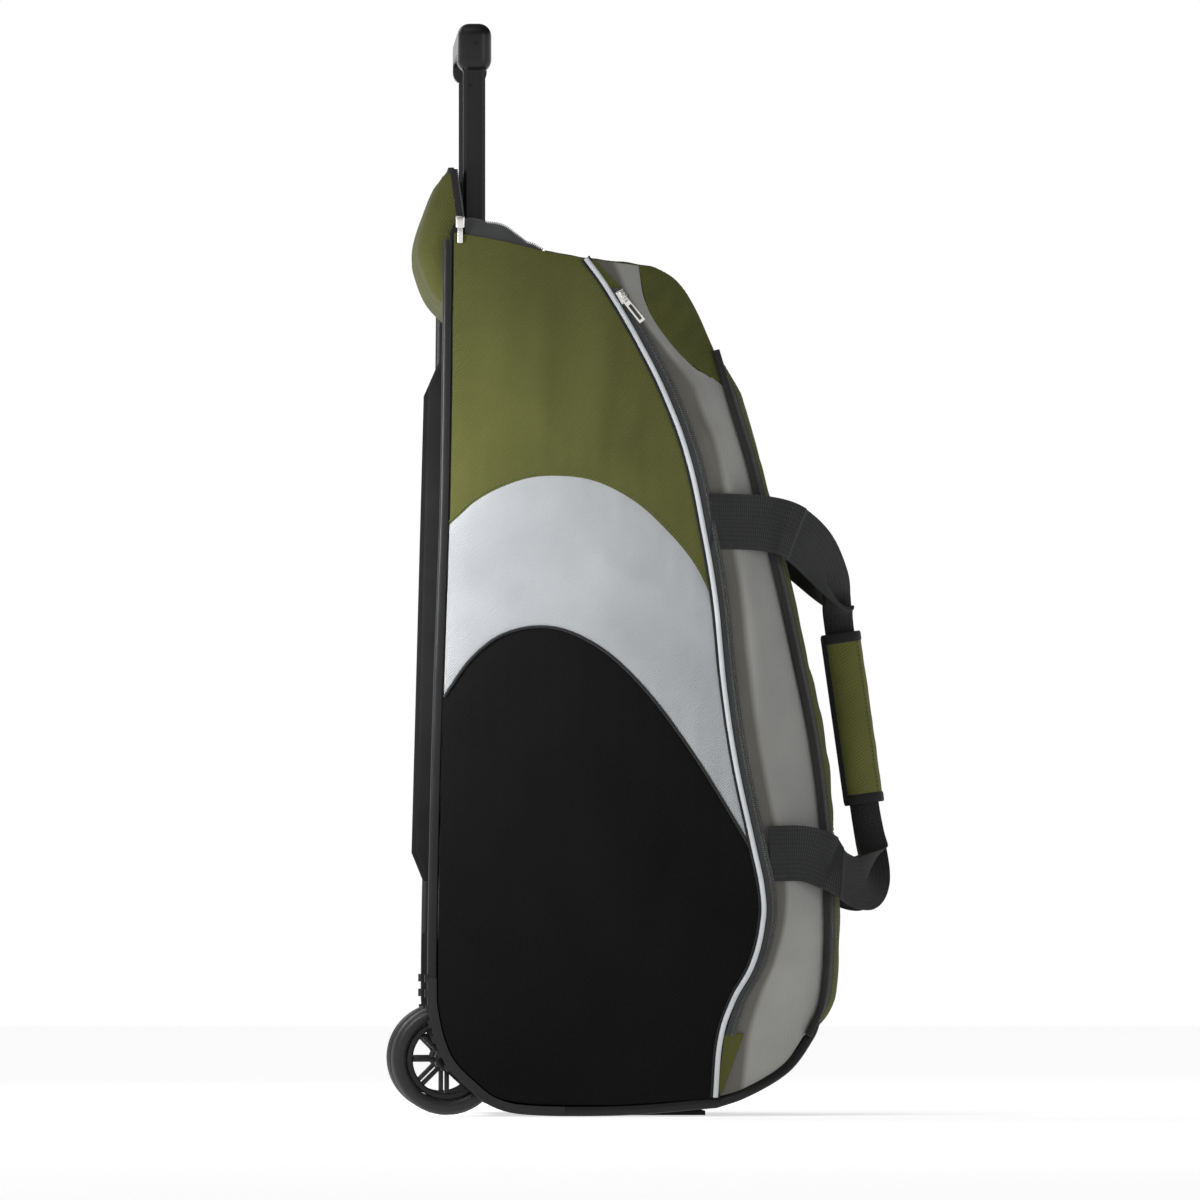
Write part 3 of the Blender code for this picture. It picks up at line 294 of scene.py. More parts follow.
class Nodes:
    """A material's node tree, with short ways to add and join nodes."""

    def __init__(self, name: str, roughness: float, metallic: float = 0.0, sheen: float = 0.0,
                 specular: float = 0.5) -> None:
        """Start a material whose even values sit on the shader's own sockets."""
        self.material = bpy.data.materials.new(name)
        self.material.use_nodes = True
        self.tree = self.material.node_tree
        self.shader = self.tree.nodes["Principled BSDF"]
        even = {"Roughness": roughness, "Metallic": metallic, "Sheen Weight": sheen,
                "Sheen Roughness": 0.45, "Specular IOR Level": specular}
        for key, value in even.items():
            self.shader.inputs[key].default_value = value
        self.coords = self.tree.nodes.new("ShaderNodeTexCoord")

    def feed(self, socket: bpy.types.NodeSocket, value: object) -> None:
        """Link a socket to another one, or give it a value."""
        if isinstance(value, bpy.types.NodeSocket):
            self.tree.links.new(value, socket)
        else:
            socket.default_value = value

    def add(self, kind: str, **inputs: object) -> bpy.types.Node:
        """A node with the given socket values or links.

        Args:
            kind: The node's type.
            inputs: Socket names with underscores for blanks, each a value or a socket.

        Returns:
            The new node.
        """
        node = self.tree.nodes.new(kind)
        for key, value in inputs.items():
            self.feed(node.inputs[key.replace("_", " ")], value)
        return node

    def mapped(self, source: str, turn: float = 0.0,
               scale: Sequence[float] = (1.0, 1.0, 1.0)) -> bpy.types.NodeSocket:
        """Coordinates of the piece, turned about their third axis and scaled."""
        node = self.add("ShaderNodeMapping", Vector=self.coords.outputs[source], Scale=tuple(scale),
                        Rotation=(0.0, 0.0, turn))
        return node.outputs["Vector"]

    def wave(self, source: str, period: float, turn: float, distortion: float) -> bpy.types.NodeSocket:
        """Bands across the first axis of the coordinates, from 0 to 1, that repeat each period."""
        node = self.add("ShaderNodeTexWave", Vector=self.mapped(source, turn), Scale=math.pi / 10 / period,
                        Distortion=distortion, Detail=1.0, Detail_Scale=2.0)
        node.wave_type, node.bands_direction, node.wave_profile = "BANDS", "X", "SIN"
        return node.outputs["Fac"]

    def cloud(self, source: str, scale: float, detail: float = 4.0,
              stretch: Sequence[float] = (1.0, 1.0, 1.0)) -> bpy.types.NodeSocket:
        """Soft noise of the given scale, from 0 to 1."""
        node = self.add("ShaderNodeTexNoise", Vector=self.mapped(source, 0.0, stretch), Scale=scale,
                        Detail=detail)
        return node.outputs["Fac"]

    def span(self, value: bpy.types.NodeSocket, low: float, high: float,
             start: float = 0.0, end: float = 1.0) -> bpy.types.NodeSocket:
        """A value between start and end stretched to run from low to high."""
        node = self.add("ShaderNodeMapRange", Value=value, From_Min=start, From_Max=end, To_Min=low,
                        To_Max=high)
        return node.outputs["Result"]

    def maths(self, kind: str, first: object, second: object) -> bpy.types.NodeSocket:
        """The result of one arithmetic step on two values."""
        node = self.tree.nodes.new("ShaderNodeMath")
        node.operation = kind
        for socket, value in zip(node.inputs, (first, second)):
            self.feed(socket, value)
        return node.outputs["Value"]

    def mix(self, share: object, first: object, second: object, kind: str = "MIX") -> bpy.types.NodeSocket:
        """Two colours mixed by a share, which is a number or a socket."""
        node = self.tree.nodes.new("ShaderNodeMix")
        node.data_type, node.blend_type = "RGBA", kind
        self.feed(node.inputs[0], share)
        for socket, value in ((node.inputs[6], first), (node.inputs[7], second)):
            self.feed(socket, (*value, 1.0) if isinstance(value, tuple) else value)
        return node.outputs[2]

    def finish(self, colour: bpy.types.NodeSocket, roughness: bpy.types.NodeSocket,
               bump: bpy.types.NodeSocket, depth: float, strength: float = 1.0) -> bpy.types.Material:
        """Join colour, roughness and bump to the shader.

        Args:
            colour: Base colour.
            roughness: Roughness.
            bump: Height from 0 to 1.
            depth: Metres that a full height stands for.
            strength: How strongly the bump is felt.

        Returns:
            The finished material.
        """
        relief = self.add("ShaderNodeBump", Height=bump, Distance=depth, Strength=strength)
        self.tree.links.new(colour, self.shader.inputs["Base Color"])
        self.tree.links.new(roughness, self.shader.inputs["Roughness"])
        self.tree.links.new(relief.outputs["Normal"], self.shader.inputs["Normal"])
        return self.material


def shade(colour: Sequence[float], factor: float) -> tuple[float, ...]:
    """A colour made lighter or darker by a factor."""
    return tuple(min(1.0, c * factor) for c in colour)


@dataclass(frozen=True)
class Woven:
    """A woven cloth on the piece's own UV map, whose unit is a metre."""

    name: str
    colour: tuple[float, float, float]
    rib: float = 0.0021
    pick: float = 0.0011
    turn: float = 0.75
    contrast: float = 0.30
    roughness: float = 0.78
    sheen: float = 0.10
    relief: float = 0.00035
    specular: float = 0.16
    trim: tuple[float, float, float] | None = None

    def make(self) -> bpy.types.Material:
        """Diagonal ribs crossed by fine picks, with a slow change of tone and faded patches."""
        kit = Nodes(self.name, self.roughness, sheen=self.sheen, specular=self.specular)
        rib = kit.wave("UV", self.rib, self.turn, 0.6)
        pick = kit.wave("UV", self.pick, self.turn + math.pi / 2, 0.3)
        thread = kit.maths("ADD", kit.maths("MULTIPLY", rib, 0.7), kit.maths("MULTIPLY", pick, 0.3))
        slow, fine = kit.cloud("Object", 9.0, 3.0), kit.cloud("UV", 420.0, 2.0)
        low, high = shade(self.colour, 1 - self.contrast), shade(self.colour, 1 + self.contrast)
        colour = kit.mix(thread, low, high)
        if self.trim:
            edge = kit.add("ShaderNodeAttribute")
            edge.attribute_name = "seam_near"
            share = kit.span(edge.outputs["Fac"], 0.0, 1.0, 0.40, 0.53)
            colour = kit.mix(share, colour, kit.mix(thread, shade(self.trim, 0.8), shade(self.trim, 1.15)))
        tone = kit.mix(kit.span(slow, 0.0, 1.0, 0.25, 0.75), (0.84, 0.84, 0.84), (1.12, 1.12, 1.10))
        colour = kit.mix(kit.span(fine, 0.85, 1.0), shade(self.colour, 0.55), colour)
        colour = kit.mix(1.0, colour, tone, "MULTIPLY")
        rough = kit.span(kit.maths("MULTIPLY", slow, thread), self.roughness + 0.10, self.roughness - 0.12)
        bump = kit.maths("ADD", thread, kit.maths("MULTIPLY", fine, 0.6))
        return kit.finish(colour, rough, bump, self.relief, 0.75)


@dataclass(frozen=True)
class Webbing:
    """Ribbed strap webbing: ribs across its length and a few long wales."""

    name: str
    colour: tuple[float, float, float]
    rib: float = 0.0019
    wale: float = 0.0042
    roughness: float = 0.82

    def make(self) -> bpy.types.Material:
        """Ribs and wales on the UV map, with dust lying in the grooves."""
        kit = Nodes(self.name, self.roughness, sheen=0.04, specular=0.16)
        rib = kit.wave("UV", self.rib, math.pi / 2, 0.25)
        wale = kit.wave("UV", self.wale, 0.0, 0.15)
        weave = kit.maths("ADD", kit.maths("MULTIPLY", rib, 0.75), kit.maths("MULTIPLY", wale, 0.25))
        slow, fine = kit.cloud("Object", 22.0), kit.cloud("UV", 600.0, 2.0)
        body = kit.mix(weave, shade(self.colour, 0.45), shade(self.colour, 1.55))
        colour = kit.mix(kit.span(slow, 0.0, 0.45, 0.35, 0.85), body, shade(self.colour, 1.5))
        rough = kit.span(fine, self.roughness - 0.12, self.roughness + 0.1)
        bump = kit.maths("ADD", weave, kit.maths("MULTIPLY", fine, 0.35))
        return kit.finish(colour, rough, bump, 0.0005, 0.8)


@dataclass(frozen=True)
class Moulded:
    """Moulded plastic or rubber: a fine grain, worn lighter along its edges."""

    name: str
    colour: tuple[float, float, float]
    roughness: float = 0.42
    grain: float = 900.0
    relief: float = 0.00012
    wear: float = 0.5
    specular: float = 0.28

    def make(self) -> bpy.types.Material:
        """Grain and slow gloss patches on Object coordinates, with edges from the pointiness."""
        kit = Nodes(self.name, self.roughness, specular=self.specular)
        grain, slow = kit.cloud("Object", self.grain, 2.0), kit.cloud("Object", 26.0, 5.0)
        point = kit.add("ShaderNodeNewGeometry").outputs["Pointiness"]
        edge = kit.maths("MULTIPLY", kit.span(point, 0.0, self.wear, 0.52, 0.60), slow)
        base = kit.mix(slow, shade(self.colour, 0.8), shade(self.colour, 1.25))
        worn = tuple(0.07 + 1.2 * c for c in self.colour)
        colour = kit.mix(edge, base, worn)
        rough = kit.maths("ADD", kit.span(slow, self.roughness - 0.07, self.roughness + 0.08),
                          kit.maths("MULTIPLY", edge, 0.18))
        return kit.finish(colour, rough, grain, self.relief, 0.5)


@dataclass(frozen=True)
class Metal:
    """Metal drawn or plated, with faint long marks and small rubbed places."""

    name: str
    colour: tuple[float, float, float]
    roughness: float
    metallic: float
    streak: tuple[float, float, float] = (900.0, 900.0, 12.0)
    wear: float = 0.7

    def make(self) -> bpy.types.Material:
        """Streaks along the third axis in the roughness and bump, rubbed edges in the colour."""
        kit = Nodes(self.name, self.roughness, self.metallic, specular=0.3)
        streak = kit.cloud("Object", 1.0, 3.0, self.streak)
        slow = kit.cloud("Object", 35.0, 4.0)
        point = kit.add("ShaderNodeNewGeometry").outputs["Pointiness"]
        edge = kit.maths("MULTIPLY", kit.span(point, 0.0, self.wear, 0.53, 0.62), slow)
        base = kit.mix(streak, shade(self.colour, 0.82), shade(self.colour, 1.18))
        colour = kit.mix(edge, base, tuple(min(0.9, 0.12 + 1.3 * c) for c in self.colour))
        rough = kit.maths("ADD", kit.span(streak, self.roughness - 0.06, self.roughness + 0.09),
                          kit.span(slow, -0.03, 0.05))
        return kit.finish(colour, rough, streak, 0.00002, 0.2)


class Finish(Enum):
    """The bag's finishes, each with the record's slot that it answers to."""

    OLIVE = ("olive_cloth", Woven("olive_twill", (0.076, 0.081, 0.0212), contrast=0.26, sheen=0.04))
    SILVER = ("silver_cloth", Woven("silver_twill", (0.330, 0.341, 0.357), rib=0.0018, contrast=0.15,
                                    roughness=0.50, sheen=0.05))
    BLACK = ("black_cloth", Woven("black_twill", (0.0046, 0.0046, 0.0049), contrast=0.35, sheen=0.01,
                                  specular=0.08))
    GREY = ("grey_cloth", Woven("grey_weave", (0.285, 0.285, 0.276), rib=0.0013, pick=0.0013, turn=0.0,
                                contrast=0.10, relief=0.00018, trim=(0.120, 0.115, 0.102)))
    # The olive cloth made about half again lighter for the padded wrap: painted light in its colour,
    # standing in for the lamp light that the wrap lacks.
    PAD = ("olive_cloth", Woven("olive_pad", (0.124, 0.132, 0.036), contrast=0.24, sheen=0.04))
    BINDING = ("webbing", Woven("binding_tape", (0.022, 0.022, 0.023), rib=0.0012, turn=1.57, contrast=0.3,
                                sheen=0.1))
    TAPE = ("zip_tape", Woven("zip_weave", (0.052, 0.053, 0.055), rib=0.0010, pick=0.0010, turn=0.785,
                              contrast=0.32, sheen=0.15))
    WEBBING = ("webbing", Webbing("strap_webbing", (0.024, 0.0245, 0.025)))
    THREAD = ("webbing", Moulded("sewing_thread", (0.045, 0.046, 0.04), 0.7, 1500.0, 0.0001, 0.1))
    OLIVE_THREAD = ("olive_cloth", Moulded("olive_thread", (0.075, 0.08, 0.03), 0.7, 1500.0, 0.0001, 0.1))
    COIL = ("zip_tape", Moulded("zip_coil", (0.085, 0.086, 0.088), 0.45, 1200.0, 0.0001, 0.3))
    PIPING = ("piping_white", Moulded("reflective_piping", (0.50, 0.52, 0.54), 0.38, 700.0, 0.0001, 0.1))
    PLASTIC = ("black_plastic", Moulded("moulded_black", (0.009, 0.009, 0.0095), 0.38, wear=0.12,
                                        specular=0.22))
    SHELL = ("black_plastic", Moulded("dull_shell_black", (0.011, 0.011, 0.0115), 0.6, wear=0.1,
                                      specular=0.0))
    GRIP = ("black_plastic", Moulded("soft_grip_black", (0.010, 0.010, 0.0105), 0.30, 1100.0, 0.00006, 0.2))
    RUBBER = ("tyre_rubber", Moulded("tyre_black", (0.014, 0.014, 0.014), 0.40, 520.0, 0.0002, 0.25))
    METAL = ("black_metal", Metal("anodised_black", (0.011, 0.011, 0.0115), 0.28, 0.4, wear=0.08))
    NICKEL = ("nickel", Metal("plated_nickel", (0.72, 0.71, 0.68), 0.22, 1.0, (70.0, 70.0, 70.0)))

    @property
    def slot(self) -> str:
        """The record's material slot."""
        return self.value[0]

    @property
    def material(self) -> bpy.types.Material:
        """The finish's material, made at its first use."""
        return bpy.data.materials.get(self.value[1].name) or self.value[1].make()


def enter(piece: bpy.types.Object, *nodes: str, finish: Finish, body: str = "root") -> bpy.types.Object:
    """Give a finished piece its finish, its body and the solids it stands for.

    Args:
        piece: The new object.
        nodes: Names of the CAD nodes that it replaces.
        finish: Its finish.
        body: The body it rides on.

    Returns:
        The piece.
    """
    piece.data.materials.clear()
    piece.data.materials.append(finish.material)
    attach(piece, body)
    if nodes:
        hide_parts(*nodes)
    finish.slot
    return piece


def link_mesh(name: str, made: bmesh.types.BMesh, angle: float = 50.0) -> bpy.types.Object:
    """Weld, orient and link a mesh, and shade it smooth but for edges sharper than an angle."""
    bmesh.ops.remove_doubles(made, verts=made.verts, dist=0.000008)
    bmesh.ops.recalc_face_normals(made, faces=made.faces)
    mesh = bpy.data.meshes.new(name)
    made.to_mesh(mesh)
    made.free()
    mesh.shade_smooth()
    mesh.set_sharp_from_angle(angle=math.radians(angle))
    piece = bpy.data.objects.new(name, mesh)
    bpy.context.collection.objects.link(piece)
    return piece


def sheet(name: str, outer: Grid, inner: Grid, plan: Callable[[Vector], Row] | None = None,
          near: list[list[float]] | None = None, angle: float = 50.0) -> bpy.types.Object:
    """A closed wall of cloth from two grids of points.

    Args:
        name: The piece's name.
        outer: Rows of points on the face.
        inner: The matching points on the back.
        plan: Gives a point's place on the cloth in metres, else lengths along the grid serve.
        near: A value of each point that the finish may read as seam_near.
        angle: Edges sharper than this stay sharp.

    Returns:
        The linked object with a UV map in metres.
    """
    rows, columns = len(outer), len(outer[0])
    across = [0.0] + [(outer[i][columns // 2] - outer[i - 1][columns // 2]).length for i in range(1, rows)]
    along = [0.0] + [(outer[rows // 2][j] - outer[rows // 2][j - 1]).length for j in range(1, columns)]
    across = [sum(across[:i + 1]) for i in range(rows)]
    along = [sum(along[:j + 1]) for j in range(columns)]
    made = bmesh.new()
    cloth = made.loops.layers.uv.new("UVMap")
    tone = made.verts.layers.float.new("seam_near") if near else None
    maps: dict[bmesh.types.BMVert, Row] = {}
    layers = []
    for grid in (outer, inner):
        layer = []
        for i, row in enumerate(grid):
            line = []
            for j, point in enumerate(row):
                vert = made.verts.new(point)
                maps[vert] = plan(point) if plan else (across[i], along[j])
                if tone:
                    vert[tone] = near[i][j]
                line.append(vert)
            layer.append(line)
        layers.append(layer)
    face, back = layers
    for i in range(rows - 1):
        for j in range(columns - 1):
            made.faces.new((face[i][j], face[i + 1][j], face[i + 1][j + 1], face[i][j + 1]))
            made.faces.new((back[i][j], back[i][j + 1], back[i + 1][j + 1], back[i + 1][j]))
    border = [(i, 0) for i in range(rows)] + [(rows - 1, j) for j in range(1, columns)]
    border += [(i, columns - 1) for i in range(rows - 2, -1, -1)]
    border += [(0, j) for j in range(columns - 2, 0, -1)]
    for (i, j), (k, m) in zip(border, border[1:] + border[:1]):
        made.faces.new((face[i][j], face[k][m], back[k][m], back[i][j]))
    for poly in made.faces:
        for loop in poly.loops:
            loop[cloth].uv = maps[loop.vert]
    return link_mesh(name, made, angle)


def frames(points: Sequence[Vector], ups: Sequence[Vector] | Vector) -> list[tuple[Vector, Vector, Vector]]:
    """The direction, side and up of a path at each of its points."""
    out = []
    for i in range(len(points)):
        along = (points[min(i + 1, len(points) - 1)] - points[max(i - 1, 0)]).normalized()
        up = ups if isinstance(ups, Vector) else ups[i]
        up = (up - along * up.dot(along)).normalized()
        out.append((along, along.cross(up), up))
    return out


def sweep(name: str, points: Sequence[Vector], ups: Sequence[Vector] | Vector,
          section: Sequence[Row], closed: bool = False) -> bpy.types.Object:
    """A closed section carried along a path.

    Args:
        name: The piece's name.
        points: The path.
        ups: The up direction, one for all or one for each point.
        section: Side and up offsets of the section's corners, in order round it.
        closed: True where the path's end meets its start.

    Returns:
        The linked object, with a UV map of metres round and along.
    """
    made = bmesh.new()
    cloth = made.loops.layers.uv.new("UVMap")
    rings, reach = [], [0.0]
    for i, (along, side, up) in enumerate(frames(points, ups)):
        rings.append([made.verts.new(points[i] + side * a + up * b) for a, b in section])
        if i:
            reach.append(reach[-1] + (points[i] - points[i - 1]).length)
    girth = [0.0]
    for k in range(len(section)):
        after = section[(k + 1) % len(section)]
        girth.append(girth[-1] + math.hypot(after[0] - section[k][0], after[1] - section[k][1]))
    count = len(rings) if closed else len(rings) - 1
    for i in range(count):
        ahead = (i + 1) % len(rings)
        for k in range(len(section)):
            m = (k + 1) % len(section)
            poly = made.faces.new((rings[i][k], rings[i][m], rings[ahead][m], rings[ahead][k]))
            end = reach[i + 1] if i + 1 < len(reach) else reach[-1] + 0.002
            spots = ((girth[k], reach[i]), (girth[k + 1], reach[i]), (girth[k + 1], end), (girth[k], end))
            for loop, spot in zip(poly.loops, spots):
                loop[cloth].uv = spot
    if not closed:
        made.faces.new(rings[0][::-1])
        made.faces.new(rings[-1])
    return link_mesh(name, made, 60.0)


def round_section(radius: float, sides: int) -> list[Row]:
    """A round section of a sweep."""
    steps = [2 * math.pi * k / sides for k in range(sides)]
    return [(radius * math.cos(a), radius * math.sin(a)) for a in steps]


def bar_section(foot: float, low: float, head: float, high: float) -> list[Row]:
    """A four-cornered section: half its width and its height at the foot, then at the head."""
    return [(-foot, low), (foot, low), (head, high), (-head, high)]


def even_path(points: Sequence[Vector], pitch: float) -> list[tuple[Vector, Vector, int]]:
    """Places along a path at an even pitch, each with its direction and the row it follows."""
    out, carry = [], 0.0
    for i, (first, second) in enumerate(zip(points, points[1:])):
        step = second - first
        while carry <= step.length:
            out.append((first + step.normalized() * carry, step.normalized(), i))
            carry += pitch
        carry -= step.length
    return out


def repeat(name: str, points: Sequence[Vector], ups: Sequence[Vector] | Vector, pitch: float,
           size: tuple[float, float, float], lift: float = 0.0, shift: float = 0.0,
           swing: float = 0.0) -> bpy.types.Object:
    """Small pillow-shaped links along a path, such as stitches or the turns of a zip's coil.

    Args:
        name: The piece's name.
        points: The path.
        ups: The up direction, one for all or one for each point.
        pitch: Metres from link to link.
        size: A link's length along the path, width across it and height.
        lift: Metres that the links' middles stand above the path.
        shift: Metres that they stand to its side.
        swing: Turn of each link about its up direction, in radians.

    Returns:
        The linked object.
    """
    made = bmesh.new()
    length, width, height = (s / 2 for s in size)
    cut = 0.6
    shape = [(-length, 0, 0), (length, 0, 0)]
    for a in (-cut, cut):
        shape += [(a * length, -width, 0), (a * length, 0, -height), (a * length, width, 0),
                  (a * length, 0, height)]
    for spot, along, i in even_path(points, pitch):
        up = ups if isinstance(ups, Vector) else ups[i]
        up = (up - along * up.dot(along)).normalized()
        side = along.cross(up)
        ahead = along * math.cos(swing) + side * math.sin(swing)
        beside = ahead.cross(up)
        middle = spot + up * lift + side * shift
        verts = [made.verts.new(middle + ahead * a + beside * b + up * c) for a, b, c in shape]
        near, far = verts[2:6], verts[6:10]
        for k in range(4):
            m = (k + 1) % 4
            made.faces.new((verts[0], near[m], near[k]))
            made.faces.new((verts[1], far[k], far[m]))
            made.faces.new((near[k], near[m], far[m], far[k]))
    return link_mesh(name, made, 80.0)


class Bench:
    """Blender's own modelling tools, used on one piece at a time."""

    @staticmethod
    def clear() -> None:
        """Deselect everything."""
        bpy.ops.object.select_all(action="DESELECT")

    @staticmethod
    def pick(*pieces: bpy.types.Object) -> None:
        """Select only these pieces, the first of them active."""
        Bench.clear()
        for piece in pieces:
            piece.select_set(True)
        bpy.context.view_layer.objects.active = pieces[0]

    @staticmethod
    @contextmanager
    def editing(everything: bool = True) -> Iterator[None]:
        """Edit mode on the active piece for as long as the block runs."""
        bpy.ops.object.mode_set(mode="EDIT")
        if everything:
            bpy.ops.mesh.select_all(action="SELECT")
        yield
        bpy.ops.object.mode_set(mode="OBJECT")

    @staticmethod
    def block(name: str, low: Sequence[float], high: Sequence[float], bevel: float,
              segments: int = 3) -> bpy.types.Object:
        """A block between two corners whose edges are rounded in edit mode."""
        Bench.clear()
        middle = [(a + b) / 2 for a, b in zip(low, high)]
        bpy.ops.mesh.primitive_cube_add(size=1.0, location=middle)
        piece = bpy.context.object
        piece.name = piece.data.name = name
        piece.scale = [abs(b - a) for a, b in zip(low, high)]
        bpy.ops.object.transform_apply(location=True, rotation=True, scale=True)
        if bevel:
            with Bench.editing():
                bpy.ops.mesh.bevel(offset=bevel, segments=segments, profile=0.5, affect="EDGES")
        return piece

    @staticmethod
    def drum(name: str, centre: Sequence[float], radius: float, width: float,
             sides: int = 48, bevel: float = 0.0) -> bpy.types.Object:
        """A drum about an axis along Y, its rims rounded in edit mode."""
        Bench.clear()
        bpy.ops.mesh.primitive_cylinder_add(vertices=sides, radius=radius, depth=width, location=centre,
                                            rotation=(math.pi / 2, 0.0, 0.0))
        piece = bpy.context.object
        piece.name = piece.data.name = name
        bpy.ops.object.transform_apply(location=True, rotation=True, scale=True)
        if bevel:
            for poly in piece.data.polygons:
                poly.select = abs(poly.normal.y) > 0.9
            with Bench.editing(everything=False):
                bpy.ops.mesh.select_mode(type="FACE")
                bpy.ops.mesh.bevel(offset=bevel, segments=3, profile=0.5, affect="EDGES")
        return piece

    @staticmethod
    def turn(name: str, centre: Sequence[float], profile: Sequence[Row], steps: int) -> bpy.types.Object:
        """A ring spun about an axis along Y from a closed profile of radius and y.

        Args:
            name: The piece's name.
            centre: A point of the axis.
            profile: Radius and y of the profile's corners, in order.
            steps: Steps of the spin.

        Returns:
            The ring as one closed mesh.
        """
        Bench.clear()
        mesh = bpy.data.meshes.new(name)
        corners = [(centre[0] + r, centre[1] + y, centre[2]) for r, y in profile]
        mesh.from_pydata(corners, [], [tuple(range(len(corners)))])
        piece = bpy.data.objects.new(name, mesh)
        bpy.context.collection.objects.link(piece)
        Bench.pick(piece)
        with Bench.editing():
            bpy.ops.mesh.spin(steps=steps, angle=2 * math.pi, center=tuple(centre), axis=(0.0, 1.0, 0.0))
            bpy.ops.mesh.select_all(action="SELECT")
            bpy.ops.mesh.remove_doubles(threshold=0.00001)
        drop = bmesh.new()
        drop.from_mesh(mesh)
        flat = [f for f in drop.faces if len(f.verts) == len(profile)]
        bmesh.ops.delete(drop, geom=flat, context="FACES_ONLY")
        bmesh.ops.recalc_face_normals(drop, faces=drop.faces)
        drop.to_mesh(mesh)
        drop.free()
        return piece

    @staticmethod
    def smooth(piece: bpy.types.Object, angle: float = 35.0) -> bpy.types.Object:
        """Shade a piece smooth but for edges sharper than an angle."""
        Bench.pick(piece)
        bpy.ops.object.shade_smooth_by_angle(angle=math.radians(angle))
        return piece

    @staticmethod
    def soften(piece: bpy.types.Object, width: float, segments: int = 2, limit: float = 38.0) -> None:
        """Round a piece's sharp edges with a Bevel that is applied."""
        Bench.pick(piece)
        bevel = piece.modifiers.new("round_edges", "BEVEL")
        bevel.width, bevel.segments, bevel.limit_method = width, segments, "ANGLE"
        bevel.angle_limit = math.radians(limit)
        bevel.use_clamp_overlap = True
        bpy.ops.object.modifier_apply(modifier=bevel.name)

    @staticmethod
    def copy(name: str, node: str) -> bpy.types.Object:
        """A merged copy of a CAD node, with its flat faces joined."""
        source = frame["nodes"][node]
        made = bmesh.new()
        made.from_mesh(source.data)
        made.transform(source.matrix_world)
        bmesh.ops.remove_doubles(made, verts=made.verts, dist=0.00002)
        bmesh.ops.dissolve_limit(made, angle_limit=math.radians(1.5), verts=made.verts, edges=made.edges)
        mesh = bpy.data.meshes.new(name)
        made.to_mesh(mesh)
        made.free()
        piece = bpy.data.objects.new(name, mesh)
        bpy.context.collection.objects.link(piece)
        return piece

    @staticmethod
    def cut(piece: bpy.types.Object, tool: bpy.types.Object) -> None:
        """Cut a tool's shape out of a piece and delete the tool."""
        Bench.pick(piece)
        step = piece.modifiers.new("cut", "BOOLEAN")
        step.operation, step.solver, step.object = "DIFFERENCE", "EXACT", tool
        bpy.ops.object.modifier_apply(modifier=step.name)
        bpy.data.objects.remove(tool, do_unlink=True)

    @staticmethod
    def merge(name: str, pieces: Sequence[bpy.types.Object], angle: float = 35.0) -> bpy.types.Object:
        """Join pieces into one of a given name, smooth but for edges sharper than an angle."""
        piece = Bench.smooth(Bench.join(*pieces), angle)
        piece.name = name
        return piece

    @staticmethod
    def join(*pieces: bpy.types.Object) -> bpy.types.Object:
        """Join pieces into the first of them."""
        Bench.pick(*pieces)
        bpy.ops.object.join()
        return pieces[0]


def pixel_crease(x0: float, y0: float, x1: float, y1: float, width: float, rise: float) -> Crease:
    """A crease between two places of the photograph, with its width and rise in millimetres."""
    return Crease(at_pixel(x0, y0), at_pixel(x1, y1), width / 1000, rise / 1000)


